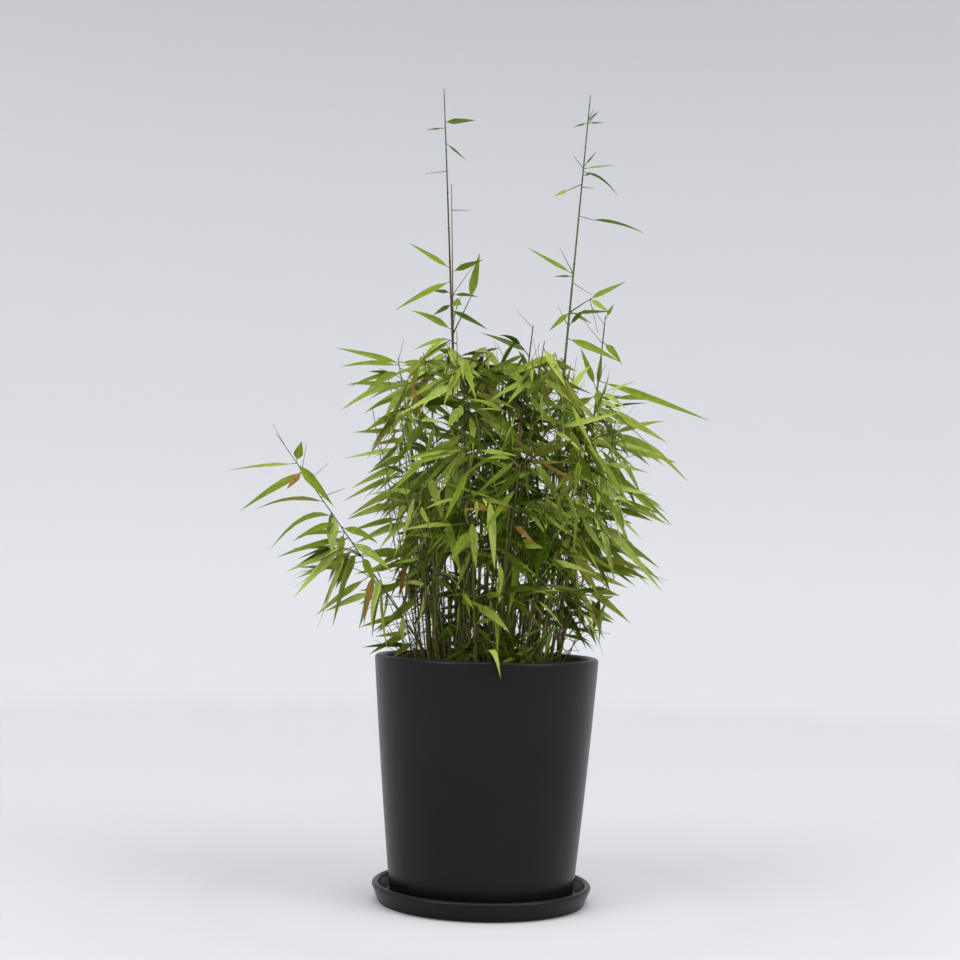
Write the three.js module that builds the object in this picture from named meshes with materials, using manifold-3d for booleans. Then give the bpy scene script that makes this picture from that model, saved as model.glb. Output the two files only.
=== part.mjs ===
// A clump-forming garden bamboo in a tapered, matt black glazed pot on its saucer.
// Millimetres, +Z up. The origin is the centre of the saucer's flat underside.
// Every culm (cane) stands on the soil and is bare up to its first leafy node. From there its foliage
// carries on: one stem, twigs that branch from it and leaves that are fused to the twigs.
import * as THREE from 'three';
import { mergeVertices } from 'three/addons/utils/BufferGeometryUtils.js';
import Module from 'manifold-3d';

const wasm = await Module();
wasm.setup();

// ---------- driving dimensions ----------

const GAP = 0.3; // between pieces that touch
const ROUND_SIDES = 40; // facets round the pot, the saucer and the soil

const SAUCER = { rimRadius: 136, footRadius: 129, height: 24, wall: 8, floor: 8, rounding: 3 };
const POT = { rimRadius: 140, footRadius: 114, height: 295, wall: 9, floor: 12, rounding: 4 };
const POT_FOOT = SAUCER.floor + GAP;
const RIM = POT_FOOT + POT.height;
const SOIL_DROP = 28; // from the rim down to the soil
const SOIL_TOP = RIM - SOIL_DROP;
const CULM_FOOT = SOIL_TOP + GAP;

const CULM = { footRadius: 2.6, tipRadius: 1.2, flare: 1.25, flareHeight: 14, sides: 6, rings: 5 };
const STEM = { sides: 4, rings: 4 };
const TWIG = { share: 0.65, taper: 0.75, sides: 3, length: [10, 42] }; // share and taper are of radius
const LEAF = { widest: 0.34, thickness: 0.012, leastThickness: 1, length: [78, 106], width: [13, 16],
  roll: [25, 75], droop: [0.04, 0.24] };
const SUNK = 3.5; // how far back inside its carrier a twig or a leaf starts
const SMALLEST_STEP = 0.02; // finer detail where twigs and leaves join is smoothed away

// The crown is a round mass a little to one side of the pot's axis. Its outline is the [height, radius] of
// its bands, low to high.
const CROWN_CENTRE = { x: 16, y: 0 };
const CROWN_TOP = 715;
const CROWN_OUTLINE = [[330, 150], [380, 182], [440, 200], [560, 208], [620, 200], [660, 186],
  [CROWN_TOP, 150]];

// How far a leaf keeps clear of things, and a bare culm of the others. A leaf may hang over the pot's lip.
const CLEAR = { otherSpace: 1.2, limb: 9, leaf: 8, bareCulm: 11, rimAbove: 5, rimInside: 17,
  rimOutside: 4, rimBelow: 24 };

// ---------- the clump ----------

// Rings of culms from the clump's edge to its middle. "reach" and "top" are where they end, "from" is the
// height share where their leaves begin, and "sweep" how far either side of outward their twigs turn.
const RINGS = [
  { name: 'outer', count: 11, first: 20, foot: 82, reach: 138, top: 560, bend: 1.4, from: 0.16,
    twigs: 11, sweep: 95, seed: 7 },
  { name: 'middle', count: 7, first: 38, foot: 52, reach: 104, top: 664, bend: 1.5, from: 0.38,
    twigs: 12, sweep: 110, lift: 6, seed: 23 },
  { name: 'inner', count: 3, first: 95, foot: 18, reach: 38, top: 700, bend: 1.4, from: 0.5,
    twigs: 11, sweep: 180, lift: 30, seed: 41 },
];

// How unevenly the culms of a ring stand: shares of their spacing, foot and reach, and a height.
const UNEVEN = { turn: 0.4, least: 0.92, spread: 0.16, top: 60 };

// The share of a culm's height above its bare part where its first twig is, and where its last one is.
const FIRST_TWIG = 0.03;
const LAST_TWIG = 0.985;

// Twigs and leaves rise more towards the top of the crown, from "low" to "high" degrees, give or take
// "spread". Each further try adds "more" degrees of freedom and takes "shorter" of a leaf's length.
const CROWN_HIGH = 700;
const TWIG_RISE = { low: 0, high: 45, spread: 16 };
const LEAF_RISE = { low: -36, high: 10, spread: 16, more: 3 };
const LEAF_TURN = { spread: 22, more: 4 };
const SHORTER = 0.03;

// A fan of three leaves on a twig: the outermost goes straight on and the others stand off to its sides.
const FAN = [{ place: 0.5, turn: -37 }, { place: 0.78, turn: 37 }, { place: 1, turn: 0 }];
const ATTEMPTS = 16;

// Bare culms stand among the others and end under their leaves.
const BARE = { tries: 40, most: 12, foot: [20, 96], height: [52, 120], lean: [5.6, 14], turnStep: 137.5,
  seed: 5 };

// One leaf of a culm that stands out by itself: the height share of its node, the way it points (turn in
// plan and rise, in degrees), its length and width, its arch, the twig that carries it and its roll.
const leaf = (at, turn, rise, length, width = 9, droop = 0.12, twig = 6, roll = 62) =>
  ({ at, turn, rise, length, width, droop, twig, roll });

const SINGLES = [
  { name: 'leader_left', foot: [-28, 10], tip: [-73, 16, 1028], tipRadius: 0.8, bend: 1, from: 0.47,
    turn: 150, twigs: 5, sweep: 150, leafyTo: 0.57, nodes: [
      leaf(0.93, -8, 0, 37, 10, 0.05), leaf(0.925, 178, -12, 21, 4), leaf(0.89, 15, -36, 31, 6),
      leaf(0.845, 190, -8, 26, 5), leaf(0.7, 172, 28, 57, 9), leaf(0.69, -12, 15, 34, 10),
      leaf(0.668, 200, -31, 86, 9, 0.05), leaf(0.648, 150, 4, 30, 7), leaf(0.645, 10, -3, 34, 7),
      leaf(0.63, -70, -12, 42, 12), leaf(0.612, -15, -30, 50, 10, 0.08), leaf(0.6, 205, -35, 26, 8),
      leaf(0.585, 172, 24, 60, 10, 0.1)],
    shoots: [{ at: 0.51, turn: 150, rise: 87.5, length: 240, leaves: [leaf(0.87, 5, 2, 20, 4)] },
      { at: 0.57, turn: 5, rise: 66, length: 56, leaves: [leaf(0.97, 10, 80, 50, 13, 0)] }] },
  { name: 'leader_right', foot: [60, -6], tip: [114, -14, 1016], tipRadius: 0.8, bend: 1, from: 0.47,
    turn: -30, twigs: 5, sweep: 150, leafyTo: 0.57, nodes: [
      leaf(0.955, 10, 46, 18, 5), leaf(0.948, -20, 0, 20, 5), leaf(0.945, 185, -8, 17, 5),
      leaf(0.94, 60, 38, 20, 8), leaf(0.872, 170, 54, 24, 4), leaf(0.87, -10, 46, 26, 5),
      leaf(0.864, -15, 0, 56, 7, 0.42), leaf(0.84, 160, 4, 34, 7, 0.1, 14),
      leaf(0.785, -5, 4, 80, 9, 0.3, 14), leaf(0.696, 184, 26, 61, 10, 0), leaf(0.7, 160, 62, 28, 4),
      leaf(0.68, -30, -26, 26, 5), leaf(0.63, 8, 28, 44, 9, 0, 30), leaf(0.625, -20, -4, 40, 9, 0.3, 22),
      leaf(0.622, 186, -48, 38, 8), leaf(0.6, 20, 44, 34, 7), leaf(0.58, -6, -24, 74, 12, 0.05)],
    shoots: [] },
  { name: 'side_leader', foot: [84, 22], tip: [142, 26, 740], bend: 0.7, from: 0.36, turn: 4, twigs: 10,
    sweep: 80, leafyTo: 0.7, nodes: [
      leaf(0.99, 20, 60, 24, 5), leaf(0.93, 0, -50, 40, 11, 0.1),
      leaf(0.82, -3, -15, 140, 14, 0.03, 12), leaf(0.775, 12, -2, 92, 10, 0.1, 28),
      leaf(0.75, -20, -22, 104, 14, 0.12, 16), leaf(0.72, 10, -31, 138, 13, 0.14, 44),
      leaf(0.66, -8, 9, 106, 10, 0.1, 40)],
    shoots: [] },
  { name: 'left_high', foot: [-70, 2], tip: [-122, 8, 676], bend: 1.5, from: 0.15, turn: 178, twigs: 14,
    sweep: 85, leafyTo: 0.92, nodes: [
      leaf(0.985, 172, 8, 96, 10, 0.04), leaf(0.93, 200, -16, 88, 11, 0.14), leaf(0.9, 150, 10, 90, 11)],
    shoots: [] },
  { name: 'front', foot: [-14, -86], tip: [-28, -130, 548], bend: 1.4, from: 0.17, turn: -100,
    twigs: 11, sweep: 100, leafyTo: 0.985, nodes: [
      leaf(0.25, -63, -40, 100, 11, 0.6, 6, 10), leaf(0.35, -43, -30, 68, 15, 0.2, 6, 40)],
    shoots: [] },
  { name: 'arm', foot: [-56, -20], tip: [-267, -44, 572], bend: 1.12, from: 0.22, turn: 190, twigs: 10,
    sweep: 95, leafyTo: 0.6, beyondCrown: true, nodes: [
      leaf(0.885, 30, 72, 27, 12, 0), leaf(0.88, 184, -8, 84, 5, 0.05), leaf(0.85, -12, -40, 62, 12, 0),
      leaf(0.815, 186, -31, 90, 11, 0.06), leaf(0.82, 130, -46, 26, 8), leaf(0.735, 176, -14, 70, 8, 0.3),
      leaf(0.66, 190, -32, 90, 10, 0.4), leaf(0.64, 250, -70, 34, 9), leaf(0.63, -60, 38, 44, 13)],
    shoots: [] },
];

// ---------- the growing rule ----------

// Numbers from 0 to 1 that are the same on every run.
function seeded(seed) {
  let state = seed >>> 0;
  return () => {
    state = (Math.imul(state, 1664525) + 1013904223) >>> 0;
    return state / 4294967296;
  };
}

const { degToRad, lerp, clamp } = THREE.MathUtils;

// The unit vector that a turn in plan and a rise above level give.
function aim(turn, rise) {
  const level = Math.cos(degToRad(rise));
  return new THREE.Vector3(level * Math.cos(degToRad(turn)), level * Math.sin(degToRad(turn)),
    Math.sin(degToRad(rise)));
}

// A point on a culm's axis: it rises evenly and moves from foot to tip by a power of the height share.
function onAxis(culm, share) {
  const out = share ** culm.bend;
  return new THREE.Vector3(lerp(culm.foot[0], culm.tip[0], out), lerp(culm.foot[1], culm.tip[1], out),
    lerp(CULM_FOOT, culm.tip[2], share));
}

// A culm tapers evenly to its tip, with a short flare at the foot.
function culmRadius(culm, share) {
  const height = share * (culm.tip[2] - CULM_FOOT);
  const flare = 1 + (CULM.flare - 1) * Math.max(0, 1 - height / CULM.flareHeight);
  return lerp(CULM.footRadius, culm.tipRadius ?? CULM.tipRadius, share) * flare;
}

const MID_CROWN = 500; // the height where the spacing of the culms in the crown is measured
const MID_SPACING = 28;
const FOOT_SPACING = 15;
const AXIS_STRETCHES = { bare: 4, leafy: 6 }; // straight stretches that stand for a bent culm

const shareAt = (culm, z) => clamp((z - CULM_FOOT) / (culm.tip[2] - CULM_FOOT), 0, 1);
const footDistance = (a, b) => Math.hypot(a.foot[0] - b.foot[0], a.foot[1] - b.foot[1]);

// Two culms stand apart if their feet and their axes at mid-crown height do.
function standsApart(culm, others) {
  const middle = onAxis(culm, shareAt(culm, MID_CROWN));
  return others.every((other) => footDistance(culm, other) > FOOT_SPACING
    && onAxis(other, shareAt(other, MID_CROWN)).distanceTo(middle) > MID_SPACING);
}

function ringCulms(ring, others) {
  const random = seeded(ring.seed);
  const grown = [];
  for (let i = 0; i < ring.count; i += 1) {
    const turn = ring.first + (360 * (i + UNEVEN.turn * (random() - 0.5))) / ring.count;
    const foot = ring.foot * (UNEVEN.least + UNEVEN.spread * random());
    const reach = ring.reach * (UNEVEN.least + UNEVEN.spread * random());
    const top = ring.top + UNEVEN.top * (random() - 0.5);
    const out = aim(turn, 0);
    const culm = { name: `${ring.name}_${i + 1}`, turn, bend: ring.bend, from: ring.from,
      twigs: ring.twigs, sweep: ring.sweep, lift: ring.lift, leafyTo: LAST_TWIG, nodes: [], shoots: [],
      foot: [foot * out.x, foot * out.y],
      tip: [reach * out.x + CROWN_CENTRE.x, reach * out.y + CROWN_CENTRE.y, top] };
    if (standsApart(culm, [...others, ...grown])) grown.push(culm);
  }
  return grown;
}

const culms = [...SINGLES];
for (const ring of RINGS) culms.push(...ringCulms(ring, culms));

// A culm's axis between two shares of its height, as short straight stretches.
const axisLines = (culm, from, to, steps) => Array.from({ length: steps }, (_, i) =>
  new THREE.Line3(onAxis(culm, lerp(from, to, i / steps)), onAxis(culm, lerp(from, to, (i + 1) / steps))));

// A culm's space is what is nearer to its leafy part, and to the leaves that it has by name, than to others.
for (const culm of culms) {
  culm.bareLines = axisLines(culm, 0, culm.from, AXIS_STRETCHES.bare);
  culm.leafyLines = axisLines(culm, culm.from, 1, AXIS_STRETCHES.leafy);
  for (const { at, turn, rise, length } of culm.nodes) {
    const root = onAxis(culm, at);
    culm.leafyLines.push(new THREE.Line3(root, root.clone().addScaledVector(aim(turn, rise), length)));
  }
}

const squareDistance = (lines, line) => Math.min(...lines.map((other) => other.distanceSqToLine3(line)));

// The bare culms are placed by the golden angle, wherever they stand clear of all the others.
function bareCulms() {
  const random = seeded(BARE.seed);
  const grown = [];
  for (let i = 0; i < BARE.tries && grown.length < BARE.most; i += 1) {
    const out = aim(i * BARE.turnStep, 0);
    const foot = lerp(...BARE.foot, Math.sqrt((i + 0.5) / BARE.tries));
    const lean = lerp(...BARE.lean, random());
    const culm = { name: `bare_${grown.length + 1}`, bend: 1, from: 1, foot: [foot * out.x, foot * out.y],
      tip: [(foot + lean) * out.x, (foot + lean) * out.y, CULM_FOOT + lerp(...BARE.height, random())] };
    const [line] = axisLines(culm, 0, 1, 1);
    const near = [...culms, ...grown].some((other) =>
      squareDistance([...other.bareLines, ...(other.leafyLines ?? [])], line) < CLEAR.bareCulm ** 2);
    if (near) continue;
    culm.bareLines = [line];
    grown.push(culm);
  }
  return grown;
}

const bare = bareCulms();

const nearest = new THREE.Vector3();
const distanceTo = (lines, point) =>
  Math.min(...lines.map((line) => line.closestPointToPoint(point, true, nearest).distanceTo(point)));

// The pot's wall and rim, and all that is lower, is no place for a leaf.
function inPot({ x, y, z }) {
  const out = Math.hypot(x, y);
  if (out > POT.rimRadius + CLEAR.rimOutside) return z < RIM - CLEAR.rimBelow;
  if (out > POT.rimRadius - CLEAR.rimInside) return z < RIM + CLEAR.rimAbove;
  return z < RIM;
}

// A culm's foliage keeps to the space that is nearer its own leafy part than any other, and off the pot.
function inOwnSpace(culm, point) {
  if (inPot(point)) return false;
  const own = distanceTo(culm.leafyLines, point) + CLEAR.otherSpace;
  return culms.every((other) => other === culm || distanceTo(other.leafyLines, point) > own);
}

const touchesLimb = (line, room) =>
  [...culms, ...bare].some((culm) => squareDistance(culm.bareLines, line) < room ** 2);

function inCrown(point) {
  const radius = CROWN_OUTLINE.find(([height]) => height >= point.z)?.[1] ?? 0;
  return Math.hypot(point.x - CROWN_CENTRE.x, point.y - CROWN_CENTRE.y) < radius;
}

// The marks of a leaf: its tip, both edges at its widest and the middle there. It turns about its own
// line by its roll, and it is arched.
function leafMarks({ root, blade }) {
  const along = aim(blade.turn, blade.rise);
  const across = aim(blade.turn + 90, 0).applyAxisAngle(along, degToRad(blade.roll));
  const up = along.clone().cross(across);
  const middle = root.clone().addScaledVector(along, blade.length * LEAF.widest);
  middle.z += 2 * blade.droop * blade.length * LEAF.widest * (1 - LEAF.widest);
  const tip = root.clone().addScaledVector(along, blade.length);
  return { across, up, middle, tip,
    left: middle.clone().addScaledVector(across, blade.width / 2),
    right: middle.clone().addScaledVector(across, -blade.width / 2) };
}

// A leaf fits if it keeps to its culm's space, clear of the culms and of the leaves already there.
function leafFits(culm, leafAt, others) {
  const { tip, left, right, middle } = leafMarks(leafAt);
  leafAt.marks = [tip, left, right];
  for (const share of [0.33, 0.67])
    leafAt.marks.push(left.clone().lerp(tip, share), right.clone().lerp(tip, share));
  return leafAt.marks.every((point) => inOwnSpace(culm, point)
      && others.every((other) => other.marks.every((mark) => mark.distanceTo(point) > CLEAR.leaf)))
    && !touchesLimb(new THREE.Line3(leafAt.root, middle), CLEAR.limb)
    && !touchesLimb(new THREE.Line3(middle, tip), CLEAR.limb);
}

// A number between a range and the same range below zero.
const either = (range, random) => range * (2 * random() - 1);

// Each node of the leafy part of a culm has a twig, and each twig a fan of leaves. What has no room is
// tried again with a little more freedom, and is left out in the end.
function growFoliage(culm, grown) {
  const random = seeded(Math.round(1000 + culm.turn * 13 + culm.tip[2]));
  for (let node = 0; node < culm.twigs; node += 1) {
    const at = lerp(culm.from + FIRST_TWIG, culm.leafyTo, node / (culm.twigs - 1));
    const start = onAxis(culm, at);
    const height = clamp((start.z - RIM) / (CROWN_HIGH - RIM), 0, 1);
    const hand = node % 2 ? 1 : -1;
    for (let attempt = 0; attempt < ATTEMPTS; attempt += 1) {
      const turn = culm.turn + hand * culm.sweep * random();
      const rise = lerp(TWIG_RISE.low, TWIG_RISE.high, height) + either(TWIG_RISE.spread, random);
      const end = start.clone().addScaledVector(aim(turn, rise), lerp(...TWIG.length, random()));
      if (!inOwnSpace(culm, end) || !inBounds(culm, end)) continue;
      if (touchesLimb(new THREE.Line3(start, end), CLEAR.limb / 2)) continue;
      const twig = { at, start: onAxis(culm, at - sunkShare(culm)), end };
      const leaves = [...grown.leaves];
      for (const { place, turn: aside } of FAN) {
        const found = growLeaf(culm, twig, place, turn + aside, height, leaves, random);
        if (found) leaves.push(found);
      }
      const fewest = attempt < ATTEMPTS - 1 ? 2 : 1;
      if (leaves.length - grown.leaves.length < fewest) continue;
      grown.twigs.push(twig);
      grown.leaves = leaves;
      break;
    }
  }
}

const inBounds = (culm, point) => culm.beyondCrown || inCrown(point);

function growLeaf(culm, twig, place, turn, height, others, random) {
  for (let attempt = 0; attempt < ATTEMPTS; attempt += 1) {
    const blade = {
      turn: turn + either(LEAF_TURN.spread + LEAF_TURN.more * attempt, random),
      rise: lerp(LEAF_RISE.low, LEAF_RISE.high, height) + (culm.lift ?? 0)
        + either(LEAF_RISE.spread + LEAF_RISE.more * attempt, random),
      roll: (random() < 0.5 ? -1 : 1) * lerp(...LEAF.roll, random()),
      length: lerp(...LEAF.length, random()) * (1 - SHORTER * attempt),
      width: lerp(...LEAF.width, random()),
      droop: lerp(...LEAF.droop, random()),
    };
    const grown = { ...sunkInto(twig, place), blade };
    if (leafFits(culm, grown, others) && inBounds(culm, leafMarks(grown).tip)) return grown;
  }
  return null;
}

const sunkShare = (culm) => SUNK / (culm.tip[2] - CULM_FOOT);

// The height share of the culm whose radius a leaf on a side shoot goes by.
const SHOOT_LEAF = 0.95;

// Where a leaf leaves its carrier, and the buried point a little further back that it starts from.
function sunkInto({ start, end }, place) {
  const root = start.clone().lerp(end, place);
  const back = Math.min(SUNK / start.distanceTo(end), place);
  return { root, buried: start.clone().lerp(end, place - back) };
}

// The leaves that a culm has by name: each where its own row says.
function placeFoliage(culm, grown) {
  const place = (from, node, blade) => {
    const end = node.clone().addScaledVector(aim(blade.turn, blade.rise), blade.twig);
    const twig = { at: blade.at, start: from, end };
    const placed = { ...sunkInto(twig, 1), blade: { ...blade, length: blade.length - blade.twig } };
    if (!leafFits(culm, placed, grown.leaves)) return;
    grown.twigs.push(twig);
    grown.leaves.push(placed);
  };
  for (const blade of culm.nodes)
    place(onAxis(culm, blade.at - sunkShare(culm)), onAxis(culm, blade.at), blade);
  for (const shoot of culm.shoots) {
    const start = onAxis(culm, shoot.at);
    const end = start.clone().addScaledVector(aim(shoot.turn, shoot.rise), shoot.length);
    const twig = { at: shoot.at, start: onAxis(culm, shoot.at - sunkShare(culm)), end };
    grown.twigs.push(twig);
    for (const blade of shoot.leaves) {
      const { root, buried } = sunkInto(twig, blade.at);
      place(buried, root, { ...blade, at: SHOOT_LEAF });
    }
  }
}

// ---------- solids ----------

function toSolid(geometry) {
  const plain = geometry.clone();
  for (const name of ['normal', 'uv']) plain.deleteAttribute(name);
  const merged = mergeVertices(plain);
  return new wasm.Manifold(new wasm.Mesh({ numProp: 3,
    vertProperties: new Float32Array(merged.attributes.position.array),
    triVerts: new Uint32Array(merged.index.array) }));
}

function toGeometry(solid) {
  const mesh = solid.getMesh();
  const geometry = new THREE.BufferGeometry();
  geometry.setAttribute('position', new THREE.BufferAttribute(new Float32Array(mesh.vertProperties), 3));
  geometry.setIndex(new THREE.BufferAttribute(new Uint32Array(mesh.triVerts), 1));
  return geometry;
}

const STEEP = 0.5; // a limb that rises by more than this share of its length is taken as upright
const LOOK_AHEAD = 0.02; // the share of a limb over which its direction is read

// A cylinder bent along a path of centres, with a radius for each share of the way.
function limbGeometry(centreAt, radiusAt, sides, rings, endsLevel = false) {
  const geometry = new THREE.CylinderGeometry(1, 1, 1, sides, rings);
  const position = geometry.attributes.position;
  const steep = centreAt(1).sub(centreAt(0)).normalize().z > STEEP;
  const side = steep ? new THREE.Vector3(0, 1, 0) : new THREE.Vector3(0, 0, 1);
  for (let i = 0; i < position.count; i += 1) {
    const share = position.getY(i) + 0.5;
    const centre = centreAt(share);
    const ahead = centreAt(Math.min(1, share + LOOK_AHEAD))
      .sub(centreAt(Math.max(0, share - LOOK_AHEAD))).normalize();
    if (endsLevel && share < 1e-6) ahead.set(0, 0, 1);
    const across = side.clone().cross(ahead).normalize();
    const other = across.clone().cross(ahead);
    const radius = radiusAt(share);
    const point = centre.addScaledVector(across, radius * position.getX(i))
      .addScaledVector(other, radius * position.getZ(i));
    position.setXYZ(i, point.x, point.y, point.z);
  }
  return geometry;
}

// The bare part of a culm, from the level cut at the soil up to its first leafy node.
function culmGeometry(culm) {
  return limbGeometry((share) => onAxis(culm, share * culm.from),
    (share) => culmRadius(culm, share * culm.from), CULM.sides, culm.bend === 1 ? 2 : CULM.rings, true);
}

// A leaf is a thin blade of six faces: a point inside its carrier, the tip, both edges where it is widest
// and a keel under them.
function leafGeometry(leafAt) {
  const { tip, middle, up, across } = leafMarks(leafAt);
  const { length, width } = leafAt.blade;
  const thickness = Math.max(LEAF.leastThickness, length * LEAF.thickness);
  const geometry = new THREE.SphereGeometry(1, 3, 2);
  const position = geometry.attributes.position;
  for (let i = 0; i < position.count; i += 1) {
    const along = position.getY(i);
    let point = middle.clone().addScaledVector(up, position.getX(i) * thickness * (2 / 3))
      .addScaledVector(across, (position.getZ(i) * width) / Math.sqrt(3));
    if (along > 0.5) point = tip;
    if (along < -0.5) point = leafAt.buried;
    position.setXYZ(i, point.x, point.y, point.z);
  }
  return geometry;
}

function foliageGeometry(culm) {
  const grown = { twigs: [], leaves: [] };
  placeFoliage(culm, grown);
  if (culm.twigs) growFoliage(culm, grown);
  const above = GAP / (culm.tip[2] - CULM_FOOT);
  const stemShare = (share) => lerp(culm.from + above, 1, share);
  const stem = limbGeometry((share) => onAxis(culm, stemShare(share)),
    (share) => culmRadius(culm, stemShare(share)), STEM.sides, STEM.rings);
  const twigs = grown.twigs.map(({ at, start, end }) => {
    const radius = culmRadius(culm, at) * TWIG.share;
    return limbGeometry((share) => start.clone().lerp(end, share),
      (share) => lerp(radius, radius * TWIG.taper, share), TWIG.sides, 1);
  });
  const solids = [stem, ...twigs, ...grown.leaves.map(leafGeometry)].map(toSolid);
  const pieces = wasm.Manifold.union(solids).asOriginal().simplify(SMALLEST_STEP).decompose();
  pieces.sort((a, b) => b.volume() - a.volume());
  return toGeometry(pieces[0]);
}

// A profile of [radius, height] corners turned about the axis.
function turned(corners) {
  return new THREE.LatheGeometry(corners.map(([radius, height]) => new THREE.Vector2(radius, height)),
    ROUND_SIDES).rotateX(Math.PI / 2);
}

// A quarter round between two directions, for a lip or a foot.
function rounded(centreRadius, centreHeight, radius, from, to, steps) {
  return Array.from({ length: steps + 1 }, (_, i) => {
    const angle = degToRad(lerp(from, to, i / steps));
    return [centreRadius + radius * Math.cos(angle), centreHeight + radius * Math.sin(angle)];
  });
}

function saucerGeometry() {
  const { rimRadius, footRadius, height, wall, floor, rounding } = SAUCER;
  const lip = wall / 2;
  return turned([
    [0, 0],
    ...rounded(footRadius - rounding, rounding, rounding, -90, 0, 2),
    ...rounded(rimRadius - lip, height - lip, lip, 0, 180, 4),
    [footRadius - wall, floor],
    [0, floor],
  ]);
}

function potGeometry() {
  const { rimRadius, footRadius, height, wall, floor, rounding } = POT;
  const lip = wall / 2;
  return turned([
    [0, 0],
    ...rounded(footRadius - rounding, rounding, rounding, -90, 0, 2),
    ...rounded(rimRadius - lip, height - lip, lip, 0, 180, 4),
    [footRadius - wall, floor],
    [0, floor],
  ]).translate(0, 0, POT_FOOT);
}

// The soil fills the pot from its floor to a little under the rim.
function soilGeometry() {
  const { rimRadius, footRadius, height, wall, floor } = POT;
  const low = floor + GAP;
  const high = SOIL_TOP - POT_FOOT;
  const innerRadius = (level) => lerp(footRadius - wall, rimRadius - wall, (level - floor)
    / (height - wall / 2 - floor)) - 2 * GAP;
  return turned([[0, low], [innerRadius(low), low], [innerRadius(high), high], [0, high]])
    .translate(0, 0, POT_FOOT);
}

// ---------- materials and assembly ----------

const finish = (name, color, roughness) => Object.assign(
  new THREE.MeshStandardMaterial({ color, roughness, metalness: 0 }), { name });
const BLACK_GLAZE = finish('black_glaze', 0x242223, 0.55);
const POTTING_SOIL = finish('potting_soil', 0x2b211a, 0.95);
const CANE = finish('cane', 0x5f6638, 0.6);
const LEAF_GREEN = finish('leaf_green', 0x4f7a26, 0.5);

function mesh(name, geometry, material) {
  const made = new THREE.Mesh(geometry, material);
  made.name = name;
  return made;
}

const pottedBamboo = new THREE.Group();
pottedBamboo.name = 'potted_bamboo';
pottedBamboo.add(
  mesh('saucer', saucerGeometry(), BLACK_GLAZE),
  mesh('pot', potGeometry(), BLACK_GLAZE),
  mesh('soil', soilGeometry(), POTTING_SOIL),
);
for (const culm of bare) pottedBamboo.add(mesh(`culm_${culm.name}`, culmGeometry(culm), CANE));
for (const culm of culms) {
  pottedBamboo.add(mesh(`culm_${culm.name}`, culmGeometry(culm), CANE));
  pottedBamboo.add(mesh(`foliage_${culm.name}`, foliageGeometry(culm), LEAF_GREEN));
}

export default pottedBamboo;
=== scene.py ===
"""The looks of a potted bamboo: a clump of thin canes with life-size leaves in a matt black glazed pot.

Lengths are millimetres until a mesh is made, and angles are degrees. The canes, twigs and named leaves grow
by the same rule as the solids that they replace, from the same named sizes, and carry on to finer twigs.
"""
import math
from functools import partial

import bpy
import numpy as np
from mathutils import Matrix, Vector


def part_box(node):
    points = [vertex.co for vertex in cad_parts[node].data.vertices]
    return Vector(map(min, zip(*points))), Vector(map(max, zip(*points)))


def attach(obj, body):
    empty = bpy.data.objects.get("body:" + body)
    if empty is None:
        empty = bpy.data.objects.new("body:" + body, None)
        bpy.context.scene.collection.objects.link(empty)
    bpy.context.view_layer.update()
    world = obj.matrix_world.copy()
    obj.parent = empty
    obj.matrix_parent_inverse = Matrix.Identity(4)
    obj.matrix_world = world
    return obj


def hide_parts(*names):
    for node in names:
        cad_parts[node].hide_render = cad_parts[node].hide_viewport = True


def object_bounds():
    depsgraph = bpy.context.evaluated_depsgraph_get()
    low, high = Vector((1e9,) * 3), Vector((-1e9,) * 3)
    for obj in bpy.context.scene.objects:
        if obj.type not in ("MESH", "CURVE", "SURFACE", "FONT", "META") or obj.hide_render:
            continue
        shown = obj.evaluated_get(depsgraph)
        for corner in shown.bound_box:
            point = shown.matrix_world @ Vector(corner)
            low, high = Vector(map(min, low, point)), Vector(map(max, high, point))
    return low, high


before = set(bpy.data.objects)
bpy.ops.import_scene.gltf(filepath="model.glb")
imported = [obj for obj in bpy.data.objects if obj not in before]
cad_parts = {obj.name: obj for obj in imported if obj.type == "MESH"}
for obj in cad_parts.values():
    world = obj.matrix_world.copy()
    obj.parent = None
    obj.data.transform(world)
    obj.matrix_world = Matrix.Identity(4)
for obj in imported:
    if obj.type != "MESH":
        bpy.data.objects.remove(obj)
CAD_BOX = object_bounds()
MM = 0.001


def node_box(node):
    """The lowest and the highest corner of a CAD node, in millimetres."""
    return [np.array(corner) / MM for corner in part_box(node)]


# ---------- sizes of the pot ----------

POT_LOW, POT_HIGH = node_box("pot")
SAUCER_LOW, SAUCER_HIGH = node_box("saucer")
SOIL_LOW, SOIL_HIGH = node_box("soil")
RIM = POT_HIGH[2]
RIM_RADIUS = POT_HIGH[0]
SOIL_TOP = SOIL_HIGH[2]

ROUND_SIDES = 144
POT_FOOT_RADIUS, POT_WALL, POT_FLOOR = 114, 9, 12
SAUCER_FOOT_RADIUS, SAUCER_WALL, SAUCER_FLOOR = 129, 8, 8
FOOT_ROUNDING = {"pot": 4, "saucer": 3}
POT_BELLY = 1.1  # how far the pot's side bows out of a straight taper
BARE_CLAY_BAND = 2.2  # the unglazed edge under the saucer
INSIDE_GLAZE = 14  # how far the black glaze runs down inside the pot's lip

# ---------- sizes of the plant ----------

CULM_FOOT = SOIL_TOP + 0.3
CULM_RADIUS = (2.6, 0.7)  # at the foot and at the tip, where a culm has none of its own
FOOT_FLARE = {"by": 0.25, "height": 14}
SHOOT_RADIUS = (1.0, 0.5)
REACH_LOW, REACH_HIGH = (np.array(corner) / MM for corner in CAD_BOX)
REACH_ROOM = 3  # leaf tips that grow by the rule keep this far inside the CAD box

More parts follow.
